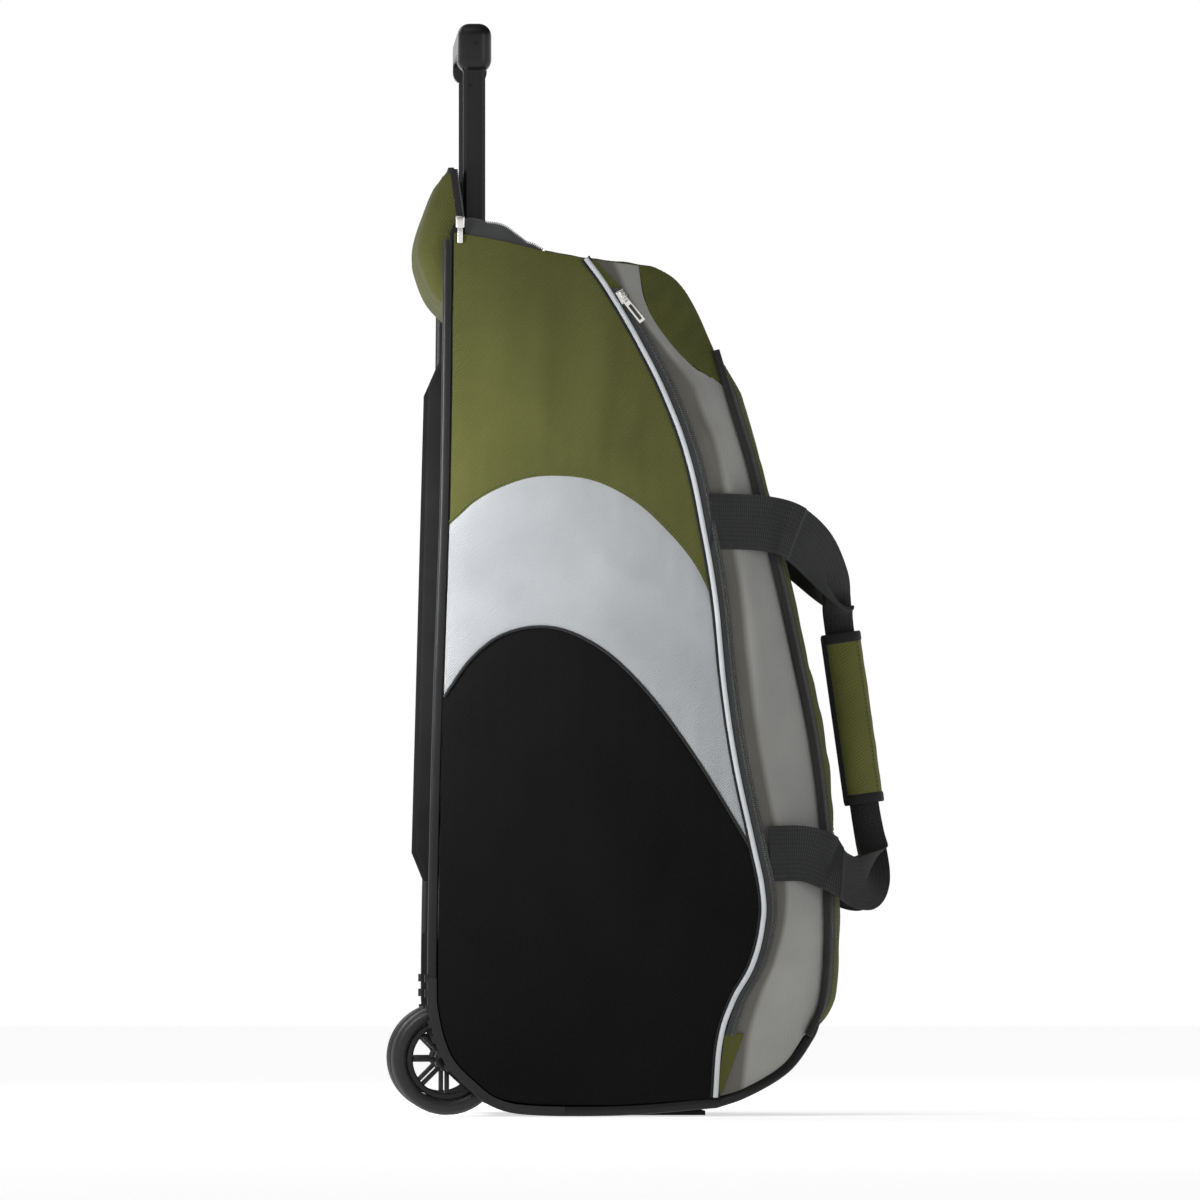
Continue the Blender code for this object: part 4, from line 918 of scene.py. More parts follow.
@dataclass
class SidePanels:
    """The sewn cloth panels of both flanks, from the back edge to the front zip."""

    across: int = 72
    up: int = 64
    inset: float = 0.0008
    pucker: float = 0.0007
    pucker_pitch: float = 0.017
    creases: tuple[Crease, ...] = (
        pixel_crease(612, 300, 596, 470, 15, 2.6), pixel_crease(575, 262, 560, 420, 22, -2.0),
        pixel_crease(640, 380, 620, 520, 12, 1.8), pixel_crease(500, 250, 508, 380, 20, 1.6),
        pixel_crease(545, 300, 540, 460, 14, 1.4), pixel_crease(470, 300, 476, 450, 16, -1.4),
        pixel_crease(650, 430, 600, 500, 10, -1.4), pixel_crease(590, 560, 680, 600, 12, 1.4),
        pixel_crease(470, 560, 560, 590, 14, -1.2), pixel_crease(560, 700, 640, 900, 30, 1.8),
        pixel_crease(690, 830, 640, 980, 16, -1.6), pixel_crease(500, 700, 470, 860, 22, -1.5),
        pixel_crease(700, 680, 690, 800, 14, 1.3), pixel_crease(530, 880, 600, 1040, 20, 1.6))

    def relief(self, u: float, v: float, x: float, z: float) -> float:
        """How far the cloth stands out at a point of a panel.

        Args:
            u: Share of the way from the back seam to the front seam.
            v: Share of the way from the lower seam to the upper one.
            x: Place along the bag.
            z: Height.

        Returns:
            Metres outwards, none on the seams.
        """
        inside = min(1.0, 16 * u * (1 - u) * v * (1 - v)) ** 0.7
        folds = 1.6 * sum(crease.lift(x, z) for crease in self.creases)
        soft = noise.noise(Vector((x * 9, z * 7, 3.1))) * 0.0022
        soft += noise.noise(Vector((x * 30, z * 21, 7.7))) * 0.0006
        edge = min(v, 1 - v) * 8
        ripple = math.cos(x * 2 * math.pi / self.pucker_pitch) * self.pucker * edge * math.exp(-edge * 1.6)
        calm = min(1.0, 12 * u * (1 - u))
        return inside * (folds + soft) + ripple * calm - 0.0012 * math.exp(-edge * 3.0)

    def patch(self, name: str, node: str, seams: Sequence[Sequence[Row]], side: Side, finish: Finish,
              counts: tuple[int, int] | None = None, seam_tone: bool = False,
              relief: Callable[[float, float, float, float], float] | None = None) -> bpy.types.Object:
        """One panel between four seams.

        Args:
            name: The piece's name.
            node: The solid it replaces.
            seams: Left, right, lower and upper seams as rows of shares.
            side: Which flank.
            finish: The panel's finish.
            counts: Cells across and up.
            seam_tone: True where the finish darkens beside the left seam.
            relief: Its own relief in place of the flank's.

        Returns:
            The panel.
        """
        across, up = counts or (self.across, self.up)
        left, right, foot, top = (smooth_curve(rows) for rows in seams)
        lift = relief or self.relief
        outer, inner, near = [], [], []
        for i in range(across + 1):
            u = i / across
            face, back, tones = [], [], []
            for j in range(up + 1):
                v = j / up
                start = left(0) * (1 - v) + left(1) * v
                end = right(0) * (1 - v) + right(1) * v
                share = left(v) * (1 - u) + right(v) * u + foot(u) * (1 - v) + top(u) * v
                share = share - start * (1 - u) - end * u
                x, z = FORM.place(share)
                rise = lift(u, v, x, z)
                face.append(FORM.side_point(share, side, rise))
                back.append(FORM.side_point(share, side, rise - FORM.cloth * 0.8))
                tones.append(1.0 - min(1.0, (FORM.place(share) - FORM.place(left(v))).length / 0.05))
            outer.append(face)
            inner.append(back)
            near.append(tones)
        piece = sheet(name, outer, inner, lambda p: (p.x, p.z), near if seam_tone else None)
        return enter(piece, node, finish=finish)

    def build(self) -> None:
        """The olive top, silver arc and black lower panel of each flank."""
        mouth = [row for row in FORM.top if row[0] <= 0.364]
        heel = [*FORM.corner, *FORM.part_of(FORM.back, 0.161, 0.470)[1:]]
        panels = (
            ("upper", FORM.part_of(FORM.back, 0.664, 0.993), (0.574, 0.964), FORM.silver_top, mouth,
             Finish.OLIVE),
            ("arc", FORM.part_of(FORM.back, 0.470, 0.664), (0.292, 0.574), FORM.silver_foot,
             FORM.silver_top, Finish.SILVER),
            ("lower", heel, (0.020, 0.292), FORM.bottom, FORM.silver_foot, Finish.BLACK))
        for side in Side:
            for stem, back, span, foot, top, finish in panels:
                seams = (back, FORM.part_of(FORM.white_seam, *span), foot, top)
                self.patch(f"{stem}_panel_{side.tag}", f"side_{stem}_{side.tag}", seams, side, finish)
            self.seam_lines(side)

    def seam_lines(self, side: Side) -> None:
        """The sewn lines along the silver arc: a dark cord below, a row of stitches above."""
        points, ups = FORM.seam_route(FORM.silver_foot, side, 0.0, 110)
        enter(sweep(f"arc_cord_{side.tag}", points, ups, round_section(0.0013, 8)), finish=Finish.BINDING)
        points, ups = FORM.seam_route(FORM.silver_top, side, 0.0, 110)
        row = repeat(f"arc_stitches_{side.tag}", [p + Vector((0, 0, 0.0034)) for p in points], ups,
                     STITCH_PITCH, STITCH_SIZE, lift=0.0002)
        enter(row, finish=Finish.OLIVE_THREAD)


@dataclass
class Gusset(SidePanels):
    """The grey cloth between the white seam and the front, with the olive shoulder above it."""

    steps: int = 20
    creases: tuple[Crease, ...] = (
        pixel_crease(700, 420, 742, 520, 10, 2.4), pixel_crease(742, 470, 768, 560, 9, -1.6),
        pixel_crease(745, 560, 760, 700, 10, 2.0), pixel_crease(790, 600, 800, 760, 11, 1.6),
        pixel_crease(740, 720, 758, 880, 9, 1.8), pixel_crease(800, 900, 786, 1020, 12, 1.6),
        pixel_crease(660, 330, 700, 400, 8, 1.8), pixel_crease(640, 320, 700, 345, 7, 1.5),
        pixel_crease(690, 350, 722, 430, 8, -1.6), pixel_crease(770, 500, 800, 590, 9, 1.3))

    def gather(self, u: float, v: float, x: float, z: float) -> float:
        """Relief of the shoulder: short gathers that run in from its curved lower seam."""
        inside = min(1.0, 14 * u * (1 - u) * v * (1 - v))
        wrinkle = math.sin(v * 34 + 3 * u) * 0.0012 + noise.noise(Vector((x * 60, z * 40, 1.3))) * 0.0016
        return inside * (wrinkle + 0.0016) * (1 - 0.4 * u)

    def build(self) -> None:
        """The gusset and the shoulder of each flank, with the corner piece low by the seam."""
        front = [*[row for row in FORM.front_seam if row[1] < 0.8], *FORM.shoulder[::-1]]
        curve = smooth_curve(front)
        first = round(self.steps * 0.75)
        lower = [tuple(curve(i / self.steps)) for i in range(first, self.steps + 1)]
        upper = [row for row in FORM.top if row[0] > lower[-1][0] + 0.02][::-1]
        tip, root = (0.700, 0.832), (lower[-1][0] + 0.016, 0.957)
        for side in Side:
            self.patch(f"gusset_panel_{side.tag}", f"front_gusset_{side.tag}",
                       (FORM.white_seam, front, FORM.nose, [FORM.white_seam[-1], FORM.shoulder[0]]), side,
                       Finish.GREY, (36, 150), True)
            self.patch(f"shoulder_panel_{side.tag}", f"shoulder_{side.tag}",
                       (lower, [tip, *upper, root], [lower[0], tip], [lower[-1], root]), side,
                       Finish.OLIVE, (22, 60), relief=self.gather)
            self.trim(side, curve)

    @staticmethod
    def end_patch(name: str, side: Side, span: tuple[float, float], widths: tuple[float, float]) -> None:
        """An olive piece that closes one end of the zip, beside the white seam.

        Args:
            name: The piece's name.
            side: Which flank.
            span: The heights that it lies between, as shares.
            widths: Its widths at its foot and its top, as shares of the depth.
        """
        seam = smooth_curve(FORM.part_of(FORM.white_seam, *span))
        outer, inner = [], []
        for i in range(15):
            base, width = seam(i / 14), blend(*widths, i / 14)
            shares = [(base[0] + 0.004 + width * j / 8, base[1] + 0.003 * (1 - i / 14)) for j in range(9)]
            outer.append([FORM.side_point(share, side, 0.0022) for share in shares])
            inner.append([FORM.side_point(share, side, 0.0006) for share in shares])
        enter(sheet(name, outer, inner, lambda p: (p.x, p.z)), finish=Finish.OLIVE)

    def trim(self, side: Side, front: Callable[[float], Vector]) -> None:
        """The olive pieces at both ends of the zip and the stitches along the shoulder's seam."""
        self.end_patch(f"corner_patch_{side.tag}", side, (0.0225, 0.092), (0.012, 0.048))
        self.end_patch(f"top_patch_{side.tag}", side, (0.918, 0.961), (0.034, 0.014))
        shares = [front(blend(0.77, 0.97, i / 60)) for i in range(61)]
        points = [FORM.side_point((s[0] + 0.012, s[1] + 0.006), side, 0.0015) for s in shares]
        ups = [FORM.side_normal(s, side) for s in shares]
        line = repeat(f"shoulder_stitches_{side.tag}", points, ups, STITCH_PITCH, STITCH_SIZE)
        enter(line, finish=Finish.OLIVE_THREAD)


@dataclass
class CrossBands:
    """The panels that run across the bag: top, front, bottom and back."""

    crown: float = 0.0075
    lanes: int = 56

    def band(self, name: str, node: str, rows: Sequence[Row], finish: Finish, steps: int,
             crown: float = 0.0, edge: float = 0.0, ends: float = 0.0, ripple: float = 0.0008,
             rise: float = 0.0) -> bpy.types.Object:
        """A panel across the width along rows of the outline, with shallow gathers at its edges.

        Args:
            name: The piece's name.
            node: The solid it replaces.
            rows: Outline rows as shares, front side out.
            finish: The panel's finish.
            steps: Cells along the outline.
            crown: Rise of its middle.
            edge: Metres left free at each side.
            ends: Share of the length left free at each end.
            ripple: Height of its gathers.
            rise: Height of its side edges, where a zip's tape climbs to them.

        Returns:
            The panel.
        """
        curve = smooth_curve(rows)
        outer, inner = [], []
        for i in range(steps + 1):
            t = blend(ends, 1 - ends, i / steps)
            share = curve(t)
            x, z = FORM.place(share)
            out = FORM.outline_normal(curve, t)
            half = FORM.inside_width(*share) - edge
            row, back = [], []
            for j in range(self.lanes + 1):
                s = 2 * j / self.lanes - 1
                y = half * s
                calm = min(1.0, 12 * (1 - s * s) * (i / steps) * (1 - i / steps))
                lift = crown * (1 - s * s) ** 0.6
                lift = (rise + lift) * closing(t) if rise else lift
                lift += calm * ripple * (math.sin(i * 0.9 + 5 * s) * abs(s) ** 3 * 1.2
                                         + 2.0 * noise.noise(Vector((x * 14, y * 12, z * 14))))
                row.append(Vector((x + out[0] * lift, y, z + out[1] * lift)))
                back.append(row[-1] - Vector((out[0], 0.0, out[1])) * FORM.cloth * 0.9)
            outer.append(row)
            inner.append(back)
        return enter(sheet(name, outer, inner), node, finish=finish)

    def build(self) -> None:
        """All four bands, and the stitches that close them."""
        top = [row for row in FORM.top if row[0] >= FORM.mouth_front][::-1]
        self.band("top_band", "top_panel", top, Finish.OLIVE, 48, 0.005, ends=0.004)
        self.band("front_band", "front_panel", FORM.front_seam, Finish.OLIVE, 110, self.crown,
                  FORM.zip_room, 0.004, 0.0016, FORM.zip_rise)
        foot = [(0.666, 0.0195), *FORM.nose]
        self.band("bottom_band", "bottom_panel", foot, Finish.BLACK, 24, ends=0.006)
        back = [row for row in FORM.back if row[1] > 0.172][::-1] + [(0.004, 0.172)]
        self.band("back_band", "back_panel", back, Finish.BLACK, 90)
        for name, rows, reach in (("front_stitches", FORM.front_seam, 0.007), ("top_stitches", top, 0.003)):
            curve = smooth_curve(rows)
            lines = []
            for side in Side:
                points, ups = [], []
                for i in range(121):
                    t = blend(0.01, 0.99, i / 120)
                    share = curve(t)
                    x, z = FORM.place(share)
                    out = FORM.outline_normal(curve, t)
                    ahead = rows is FORM.front_seam
                    edge = FORM.inside_width(*share) - (FORM.zip_room if ahead else 0.0)
                    s = (edge - reach) / edge
                    lift = (self.crown if ahead else 0.005) * max(0.0, 1 - s * s) ** 0.6
                    lift = (FORM.zip_rise + lift) * closing(t) + 0.0003 if ahead else lift - 0.0001
                    points.append(Vector((x + out[0] * lift, side.value * edge * s, z + out[1] * lift)))
                    ups.append(Vector((out[0], 0.0, out[1])))
                lines.append(repeat("line", points, ups, STITCH_PITCH, STITCH_SIZE))
            enter(Bench.join(*lines), finish=Finish.OLIVE_THREAD).name = name


@dataclass
class Trims:
    """The black rim round each flank, the white and black pipings, and the guard on the heel."""

    rim: float = 0.0045
    white: float = 0.0023
    black: float = 0.0033
    gap: float = 0.0004
    steps: int = 260

    def rim_route(self, side: Side) -> tuple[list[Vector], list[Vector]]:
        """The rim's middle line from the top of the back, round the heel, to the nose.

        Args:
            side: Which flank.

        Returns:
            Its points and their outward directions.
        """
        back = [*FORM.part_of(FORM.back, 0.161, 0.985)[::-1], *FORM.corner[::-1][1:], *FORM.bottom[1:]]
        points, ups = [], []
        nose = [*FORM.nose, *FORM.part_of(FORM.front_seam, 0.090, 0.108)[1:]]
        for rows, count in ((back, self.steps), (nose, self.steps // 5)):
            curve = smooth_curve(rows)
            for i in range(1 if points else 0, count + 1):
                share = curve(i / count)
                out = FORM.outline_normal(curve, i / count)
                tuck = 0.0014 * clamp(4 * i / count) if rows is nose else 0.0
                x, z = FORM.place(share) + out * (self.rim + 2 * self.gap - tuck)
                points.append(Vector((x, side.value * (FORM.half_width(*share) - self.rim), z)))
                ups.append(Vector((out[0], 0.0, out[1])))
        return points, ups

    def build(self) -> None:
        """Both flanks' rims and pipings."""
        for side in Side:
            points, ups = self.rim_route(side)
            strip = [(self.rim * math.copysign(abs(math.cos(a)) ** 0.6, math.cos(a)),
                      self.rim * math.copysign(abs(math.sin(a)) ** 0.6, math.sin(a)))
                     for a in (2 * math.pi * k / 20 for k in range(20))]
            rim = sweep(f"rim_strip_{side.tag}", points, ups, strip)
            enter(rim, f"edge_rim_{side.tag}", finish=Finish.PLASTIC)
            self.guard(side, points, ups)
            points, ups = FORM.seam_route(FORM.white_seam, side, self.white + self.gap, 220)
            piping = sweep(f"bright_piping_{side.tag}", points, ups, round_section(self.white, 14))
            enter(piping, f"white_piping_{side.tag}", finish=Finish.PIPING)
            points, ups = FORM.seam_route(FORM.white_seam, side, 0.0007, 220)
            flange = bar_section(0.0044, -0.0005, 0.0042, 0.0006)
            enter(sweep(f"piping_flange_{side.tag}", points, ups, flange), finish=Finish.BINDING)
            points, ups = FORM.seam_route(FORM.front_seam, side, self.black + self.gap, 200)
            edge = sweep(f"front_piping_{side.tag}", points, ups, round_section(self.black, 14))
            enter(edge, f"black_piping_{side.tag}", finish=Finish.BINDING)

    def guard(self, side: Side, points: list[Vector], ups: list[Vector]) -> None:
        """The kerb guard: a thicker moulded strip round the heel, with short raised bars."""
        chosen = [i for i, p in enumerate(points) if p.z < 0.125 and p.x < -0.030]
        run, rise = [points[i] for i in chosen], [ups[i] for i in chosen]
        section = [(-0.0052, -0.004), (0.0052, -0.004), (0.0054, 0.0034), (0.0040, 0.0045),
                   (-0.0040, 0.0045), (-0.0054, 0.0034)]
        bars, body = [], sweep("guard", run, rise, section)
        section = bar_section(0.0042, 0.004, 0.0036, 0.0068)
        for spot, along, i in even_path(run, 0.0135):
            if spot.z > 0.04:
                places = (-0.0035, -0.0025, 0.0025, 0.0035)
                bars.append(sweep("bar", [spot + along * place for place in places], rise[i], section))
        enter(Bench.join(body, *bars), finish=Finish.PLASTIC).name = f"heel_guard_{side.tag}"


@dataclass
class Zips:
    """The three pairs of zips, with woven tapes, coils and plated sliders."""

    tape: float = 0.0088
    coil_place: float = 0.70
    pitch: float = 0.0017
    mouth_tape: float = 0.016
    slider_place: float = 0.921

    def coil(self, points: Sequence[Vector], ups: Sequence[Vector], lift: float) -> bpy.types.Object:
        """The two meshing rows of a closed zip's coil along a path."""
        size, half = (0.0012, 0.0030, 0.0016), 0.0011
        start = points[0] + (points[1] - points[0]).normalized() * self.pitch / 2
        rows = [repeat("row", points, ups, self.pitch, size, lift, -half, 0.12),
                repeat("row", [start, *points[1:]], ups, self.pitch, size, lift, half, -0.12)]
        return Bench.join(*rows)

    def main(self, side: Side) -> None:
        """The long zip beside the white piping."""
        curve = smooth_curve(FORM.part_of(FORM.white_seam, 0.090, 0.930))
        start = 0.0026 / FORM.depth
        outer, inner, line, ups = [], [], [], []
        for i in range(181):
            share = curve(i / 180)
            row, back = [], []
            for j in range(9):
                s = j / 8
                spot = (share[0] + start + s * self.tape / FORM.depth, share[1])
                crown = 0.0005 * math.sin(math.pi * s)
                row.append(FORM.side_point(spot, side, 0.0025 + crown))
                back.append(FORM.side_point(spot, side, 0.0008))
            outer.append(row)
            inner.append(back)
            spot = (share[0] + start + self.coil_place * self.tape / FORM.depth, share[1])
            line.append(FORM.side_point(spot, side, 0.0))
            ups.append(FORM.side_normal(spot, side))
        tape = sheet(f"main_tape_{side.tag}", outer, inner)
        enter(tape, f"main_zip_{side.tag}", finish=Finish.TAPE)
        coil = self.coil(line, ups, 0.0034)
        enter(coil, finish=Finish.COIL).name = f"main_coil_{side.tag}"

    def front(self, side: Side) -> None:
        """The front pocket's zip, round its panel."""
        curve = smooth_curve(FORM.front_seam)
        outer, inner, line, ups = [], [], [], []
        for i in range(141):
            t = blend(0.004, 0.996, i / 140)
            share = curve(t)
            x, z = FORM.place(share)
            out = FORM.outline_normal(curve, t)
            edge, climb = FORM.inside_width(*share) - 0.0016, FORM.zip_rise * closing(t)
            room = FORM.zip_room - 0.0010
            lanes = [side.value * (edge - room * (1 - j / 5)) for j in range(6)]
            lift = [climb * (1 - j / 5) + 0.0006 * math.sin(math.pi * j / 5) for j in range(6)]
            for store, drop in ((outer, 0.0), (inner, 0.0022)):
                store.append([Vector((x + out[0] * (a - drop), y, z + out[1] * (a - drop)))
                              for y, a in zip(lanes, lift)])
            middle = side.value * (edge - room / 2)
            line.append(Vector((x + out[0] * climb / 2, middle, z + out[1] * climb / 2)))
            ups.append(Vector((out[0] * room, side.value * climb, out[1] * room)).normalized())
        enter(sheet(f"front_tape_{side.tag}", outer, inner), f"front_zip_{side.tag}", finish=Finish.TAPE)
        enter(self.coil(line, ups, 0.0016), finish=Finish.COIL).name = f"front_coil_{side.tag}"

    def mouth(self, side: Side) -> None:
        """The open zip's half tape that stands along the mouth's edge."""
        curve = smooth_curve([row for row in FORM.top if row[0] <= FORM.mouth_front])
        outer, inner, line, ups = [], [], [], []
        for i in range(61):
            t = blend(0.12, 0.97, i / 60)
            share = curve(t)
            x, z = FORM.place(share)
            stand = self.mouth_tape * (0.25 + 0.75 * math.sin(math.pi * min(1.0, t * 1.15 + 0.1)))
            stand *= (1 + 0.10 * math.sin(t * 13)) * clamp((1 - t) / 0.14)
            y = FORM.inside_width(*share) + 0.0004
            row, back = [], []
            for j in range(9):
                s = j / 8
                lean = 0.4 * stand * s + 0.0012 * math.sin(t * 21) * s
                height = z - 0.0025 + (stand + 0.0025) * s
                row.append(Vector((x, side.value * (y - lean), height)))
                back.append(Vector((x, side.value * (y - lean - 0.0013), height)))
            outer.append(row)
            inner.append(back)
            line.append(row[-1] - Vector((0, side.value * 0.0006, 0)))
            ups.append((row[-1] - row[-2]).normalized())
        enter(sheet(f"mouth_tape_{side.tag}", outer, inner), f"mouth_zip_{side.tag}", finish=Finish.TAPE)
        teeth = repeat(f"mouth_teeth_{side.tag}", line, ups, self.pitch, (0.0012, 0.0028, 0.0030), 0.0003)
        enter(teeth, finish=Finish.COIL)

    def slider(self, side: Side) -> None:
        """A plated slider with its bridge and long slotted pull, on the main zip."""
        share = FORM.depth_at(FORM.white_seam, self.slider_place)
        spot = (share + (self.tape * self.coil_place + 0.0034) / FORM.depth, self.slider_place)
        at = FORM.side_point(spot, Side.RIGHT, 0.0)
        along = (FORM.place(FORM.white_seam[-2]) - FORM.place(FORM.white_seam[-3])).normalized()
        tilt = math.atan2(along[0], along[1])
        body = Bench.block("body", (-0.0042, 0.0000, -0.0062), (0.0042, 0.0012, 0.0062), 0.0005)
        cap = Bench.block("cap", (-0.0036, 0.0030, -0.0055), (0.0036, 0.0044, 0.0055), 0.0006)
        post = Bench.block("post", (-0.0012, 0.0008, 0.0006), (0.0012, 0.0034, 0.0050), 0.0003)
        arch = [Vector((0.0, 0.0042 + 0.0024 * math.sin(math.pi * k / 10), -0.0044 + 0.0088 * k / 10))
                for k in range(11)]
        bridge = sweep("bridge", arch, Vector((1.0, 0.0, 0.0)), round_section(0.0008, 8))
        mover = Bench.join(body, cap, post, bridge)
        plate = Bench.block("plate", (-0.0032, 0.0064, -0.0290), (0.0032, 0.0078, 0.0006), 0.0006)
        for low, high in ((-0.0265, -0.0100), (-0.0060, -0.0012)):
            slot = Bench.block("slot", (-0.0015, 0.0040, low), (0.0015, 0.0100, high), 0.0006)
            Bench.cut(plate, slot)
        ring = [Vector((0.0019 * math.cos(a), 0.0068 + 0.0012 * math.sin(a),
                        -0.0006 + 0.0016 * math.sin(a)))
                for a in (2 * math.pi * k / 20 for k in range(20))]
        hook = sweep("hook", ring, Vector((0.0, 0.3, 1.0)), round_section(0.0005, 6), closed=True)
        pull = Bench.join(plate, hook)
        flip = Matrix.Diagonal((1.0, float(side.value), 1.0, 1.0))
        lift = at.y + 0.0036
        base = Matrix.Translation((at.x, lift, at.z)) @ Matrix.Rotation(tilt, 4, "Y")
        hinge = Matrix.Translation((0, 0.0066, 0))
        swing = hinge @ Matrix.Rotation(-0.14, 4, "Y") @ Matrix.Translation((0, -0.0066, 0))
        mover.data.transform(flip @ base)
        pull.data.transform(flip @ base @ swing)
        for piece, name, node in ((mover, "zip_slider", "slider"), (pull, "zip_pull", "pull")):
            if side is Side.LEFT:
                piece.data.flip_normals()
            Bench.smooth(piece)
            piece.name = f"{name}_{side.tag}"
            enter(piece, f"{node}_{side.tag}", finish=Finish.NICKEL)

    def build(self) -> None:
        """Every zip of both flanks."""
        for side in Side:
            self.main(side)
            self.front(side)
            self.mouth(side)
            self.slider(side)


@dataclass
class CarryStraps:
    """The two webbing straps, folded double where they run into their padded wrap."""

    width: float = 0.050
    thickness: float = 0.0019
    clearance: float = 0.0020
    piping_rise: float = 0.0072
    seam_reach: float = 0.0140
    ramp: float = 0.020
    steps: int = 200
    columns: int = 6
    rows: tuple[tuple[float, float, float, float, float], ...] = (
        (.672, .90, .668, 0, 0), (.740, .90, .668, 0, 0), (.810, .90, .666, 4, 0), (.875, .80, .658, 12, 0),
        (.940, .59, .634, 26, .1), (.985, .34, .600, 44, .45), (1.002, .13, .580, 66, .9),
        (1.011, .034, .553, 82, 1), (1.035, .030, .474, 82, 1), (1.055, .030, .410, 82, 1),
        (1.076, .034, .344, 82, 1), (1.088, .11, .308, 97, .95), (1.086, .30, .273, 126, .50),
        (1.060, .52, .259, 153, .12), (1.016, .70, .266, 168, 0), (.966, .86, .284, 177, 0),
        (.905, .88, .294, 180, 0), (.818, .90, .294, 180, 0))

    def seat(self, point: Vector) -> float:
        """The least y of webbing at a point, so that it lies over the flank and its piping."""
        depth, height = FORM.shares(point.x, point.z)
        front = FORM.depth_at(FORM.front_seam, height)
        if depth > front + self.seam_reach / FORM.depth:
            return 0.0
        over = 1 - clamp((front - depth) * FORM.depth / self.ramp - 0.5)
        return FORM.half_width(min(depth, front), height) + self.clearance + over * self.piping_rise

    def ribbon(self, side: Side) -> bpy.types.Object:
        """One strap as a thin closed sheet.

        Args:
            side: Which flank it is sewn to.

        Returns:
            The strap.
        """
        curve = smooth_curve([(d, h, z, t / 90, f) for d, h, z, t, f in self.rows])
        state = [curve(i / self.steps) for i in range(self.steps + 1)]
        middles = []
        for s in state:
            x, z = FORM.place((s[0], s[2]))
            middles.append(Vector((x, s[1] * FORM.width / 2, z)))
        outer, inner = [], []
        for i, s in enumerate(state):
            along = (middles[min(i + 1, self.steps)] - middles[max(i - 1, 0)]).normalized()
            angle = math.radians(s[3] * 90)
            fold = clamp(s[4])
            across = Vector((math.sin(angle), 0.0, math.cos(angle)))
            across = (across - along * across.dot(along)).normalized()
            face = along.cross(across).normalized()
            if face.y < 0:
                face = -face
            half = self.width / 2
            reach = blend(half, half / 2, fold)
            base = max([middles[i].y] + [self.seat(middles[i] + across * reach * a) for a in (-1, 0, 1)])
            middle = Vector((middles[i].x, base, middles[i].z))
            crease = middle - across * half * 0.5 * fold
            turned = -across * math.cos(math.pi * fold) + face * math.sin(math.pi * fold)
            rise = self.thickness * 0.75 * fold
            line = []
            for k in range(self.columns, 0, -1):
                t = k / self.columns
                belly = 0.0016 * math.sin(math.pi * t) * fold
                line.append(crease + turned * half * t + face * (rise * min(1.0, 3 * t) + belly))
            line.append(crease)
            for k in range(1, self.columns + 1):
                t = k / self.columns
                line.append(crease + across * half * t - face * rise * min(1.0, 3 * t))
            row, back = [], []
            for k, point in enumerate(line):
                run = (line[min(k + 1, len(line) - 1)] - line[max(k - 1, 0)]).normalized()
                out = along.cross(run).normalized()
                edge = 0.75 if k in (0, len(line) - 1) else 1.0
                for store, sign in ((row, 1), (back, -1)):
                    p = point + out * sign * edge * self.thickness / 2
                    store.append(Vector((p.x, p.y * side.value, p.z)))
            outer.append(row)
            inner.append(back)
        piece = sheet(f"carry_strap_{side.tag}", outer, inner, angle=70.0)
        self.turn_map(piece)
        return enter(piece, f"strap_{side.tag}", finish=Finish.WEBBING)

    @staticmethod
    def turn_map(piece: bpy.types.Object) -> None:
        """Turn the UV map a quarter, so that the ribs run across the strap."""
        for loop in piece.data.uv_layers["UVMap"].data:
            loop.uv = (loop.uv[1], loop.uv[0])

    def stitching(self, side: Side) -> None:
        """The sewn boxes that hold both ends to the flank."""
        lines = []
        for ends, low, high in ((self.rows[:3], 0.682, 0.722), (self.rows[-3:], 0.828, 0.870)):
            z = ends[1][2]
            half = 0.0205 / FORM.height
            box = [(low, z - half), (low, z + half), (high, z + half), (high, z - half), (low, z - half),
                   (high, z + half), (high, z - half), (low, z + half)]
            for first, second in zip(box, box[1:]):
                points = []
                for k in range(13):
                    share = (blend(first[0], second[0], k / 12), blend(first[1], second[1], k / 12))
                    x, zz = FORM.place(share)
                    y = max(self.seat(Vector((x, 0.0, zz))), ends[1][1] * FORM.width / 2)
                    points.append(Vector((x, side.value * (y + self.thickness / 2 + 0.0002), zz)))
                ups = Vector((0.0, float(side.value), 0.0))
                lines.append(repeat("line", points, ups, 0.0038, (0.0029, 0.0008, 0.0006)))
        enter(Bench.join(*lines), finish=Finish.THREAD).name = f"strap_stitches_{side.tag}"

    def build(self) -> None:
        """Both straps and their stitches."""
        for side in Side:
            self.ribbon(side)
            self.stitching(side)


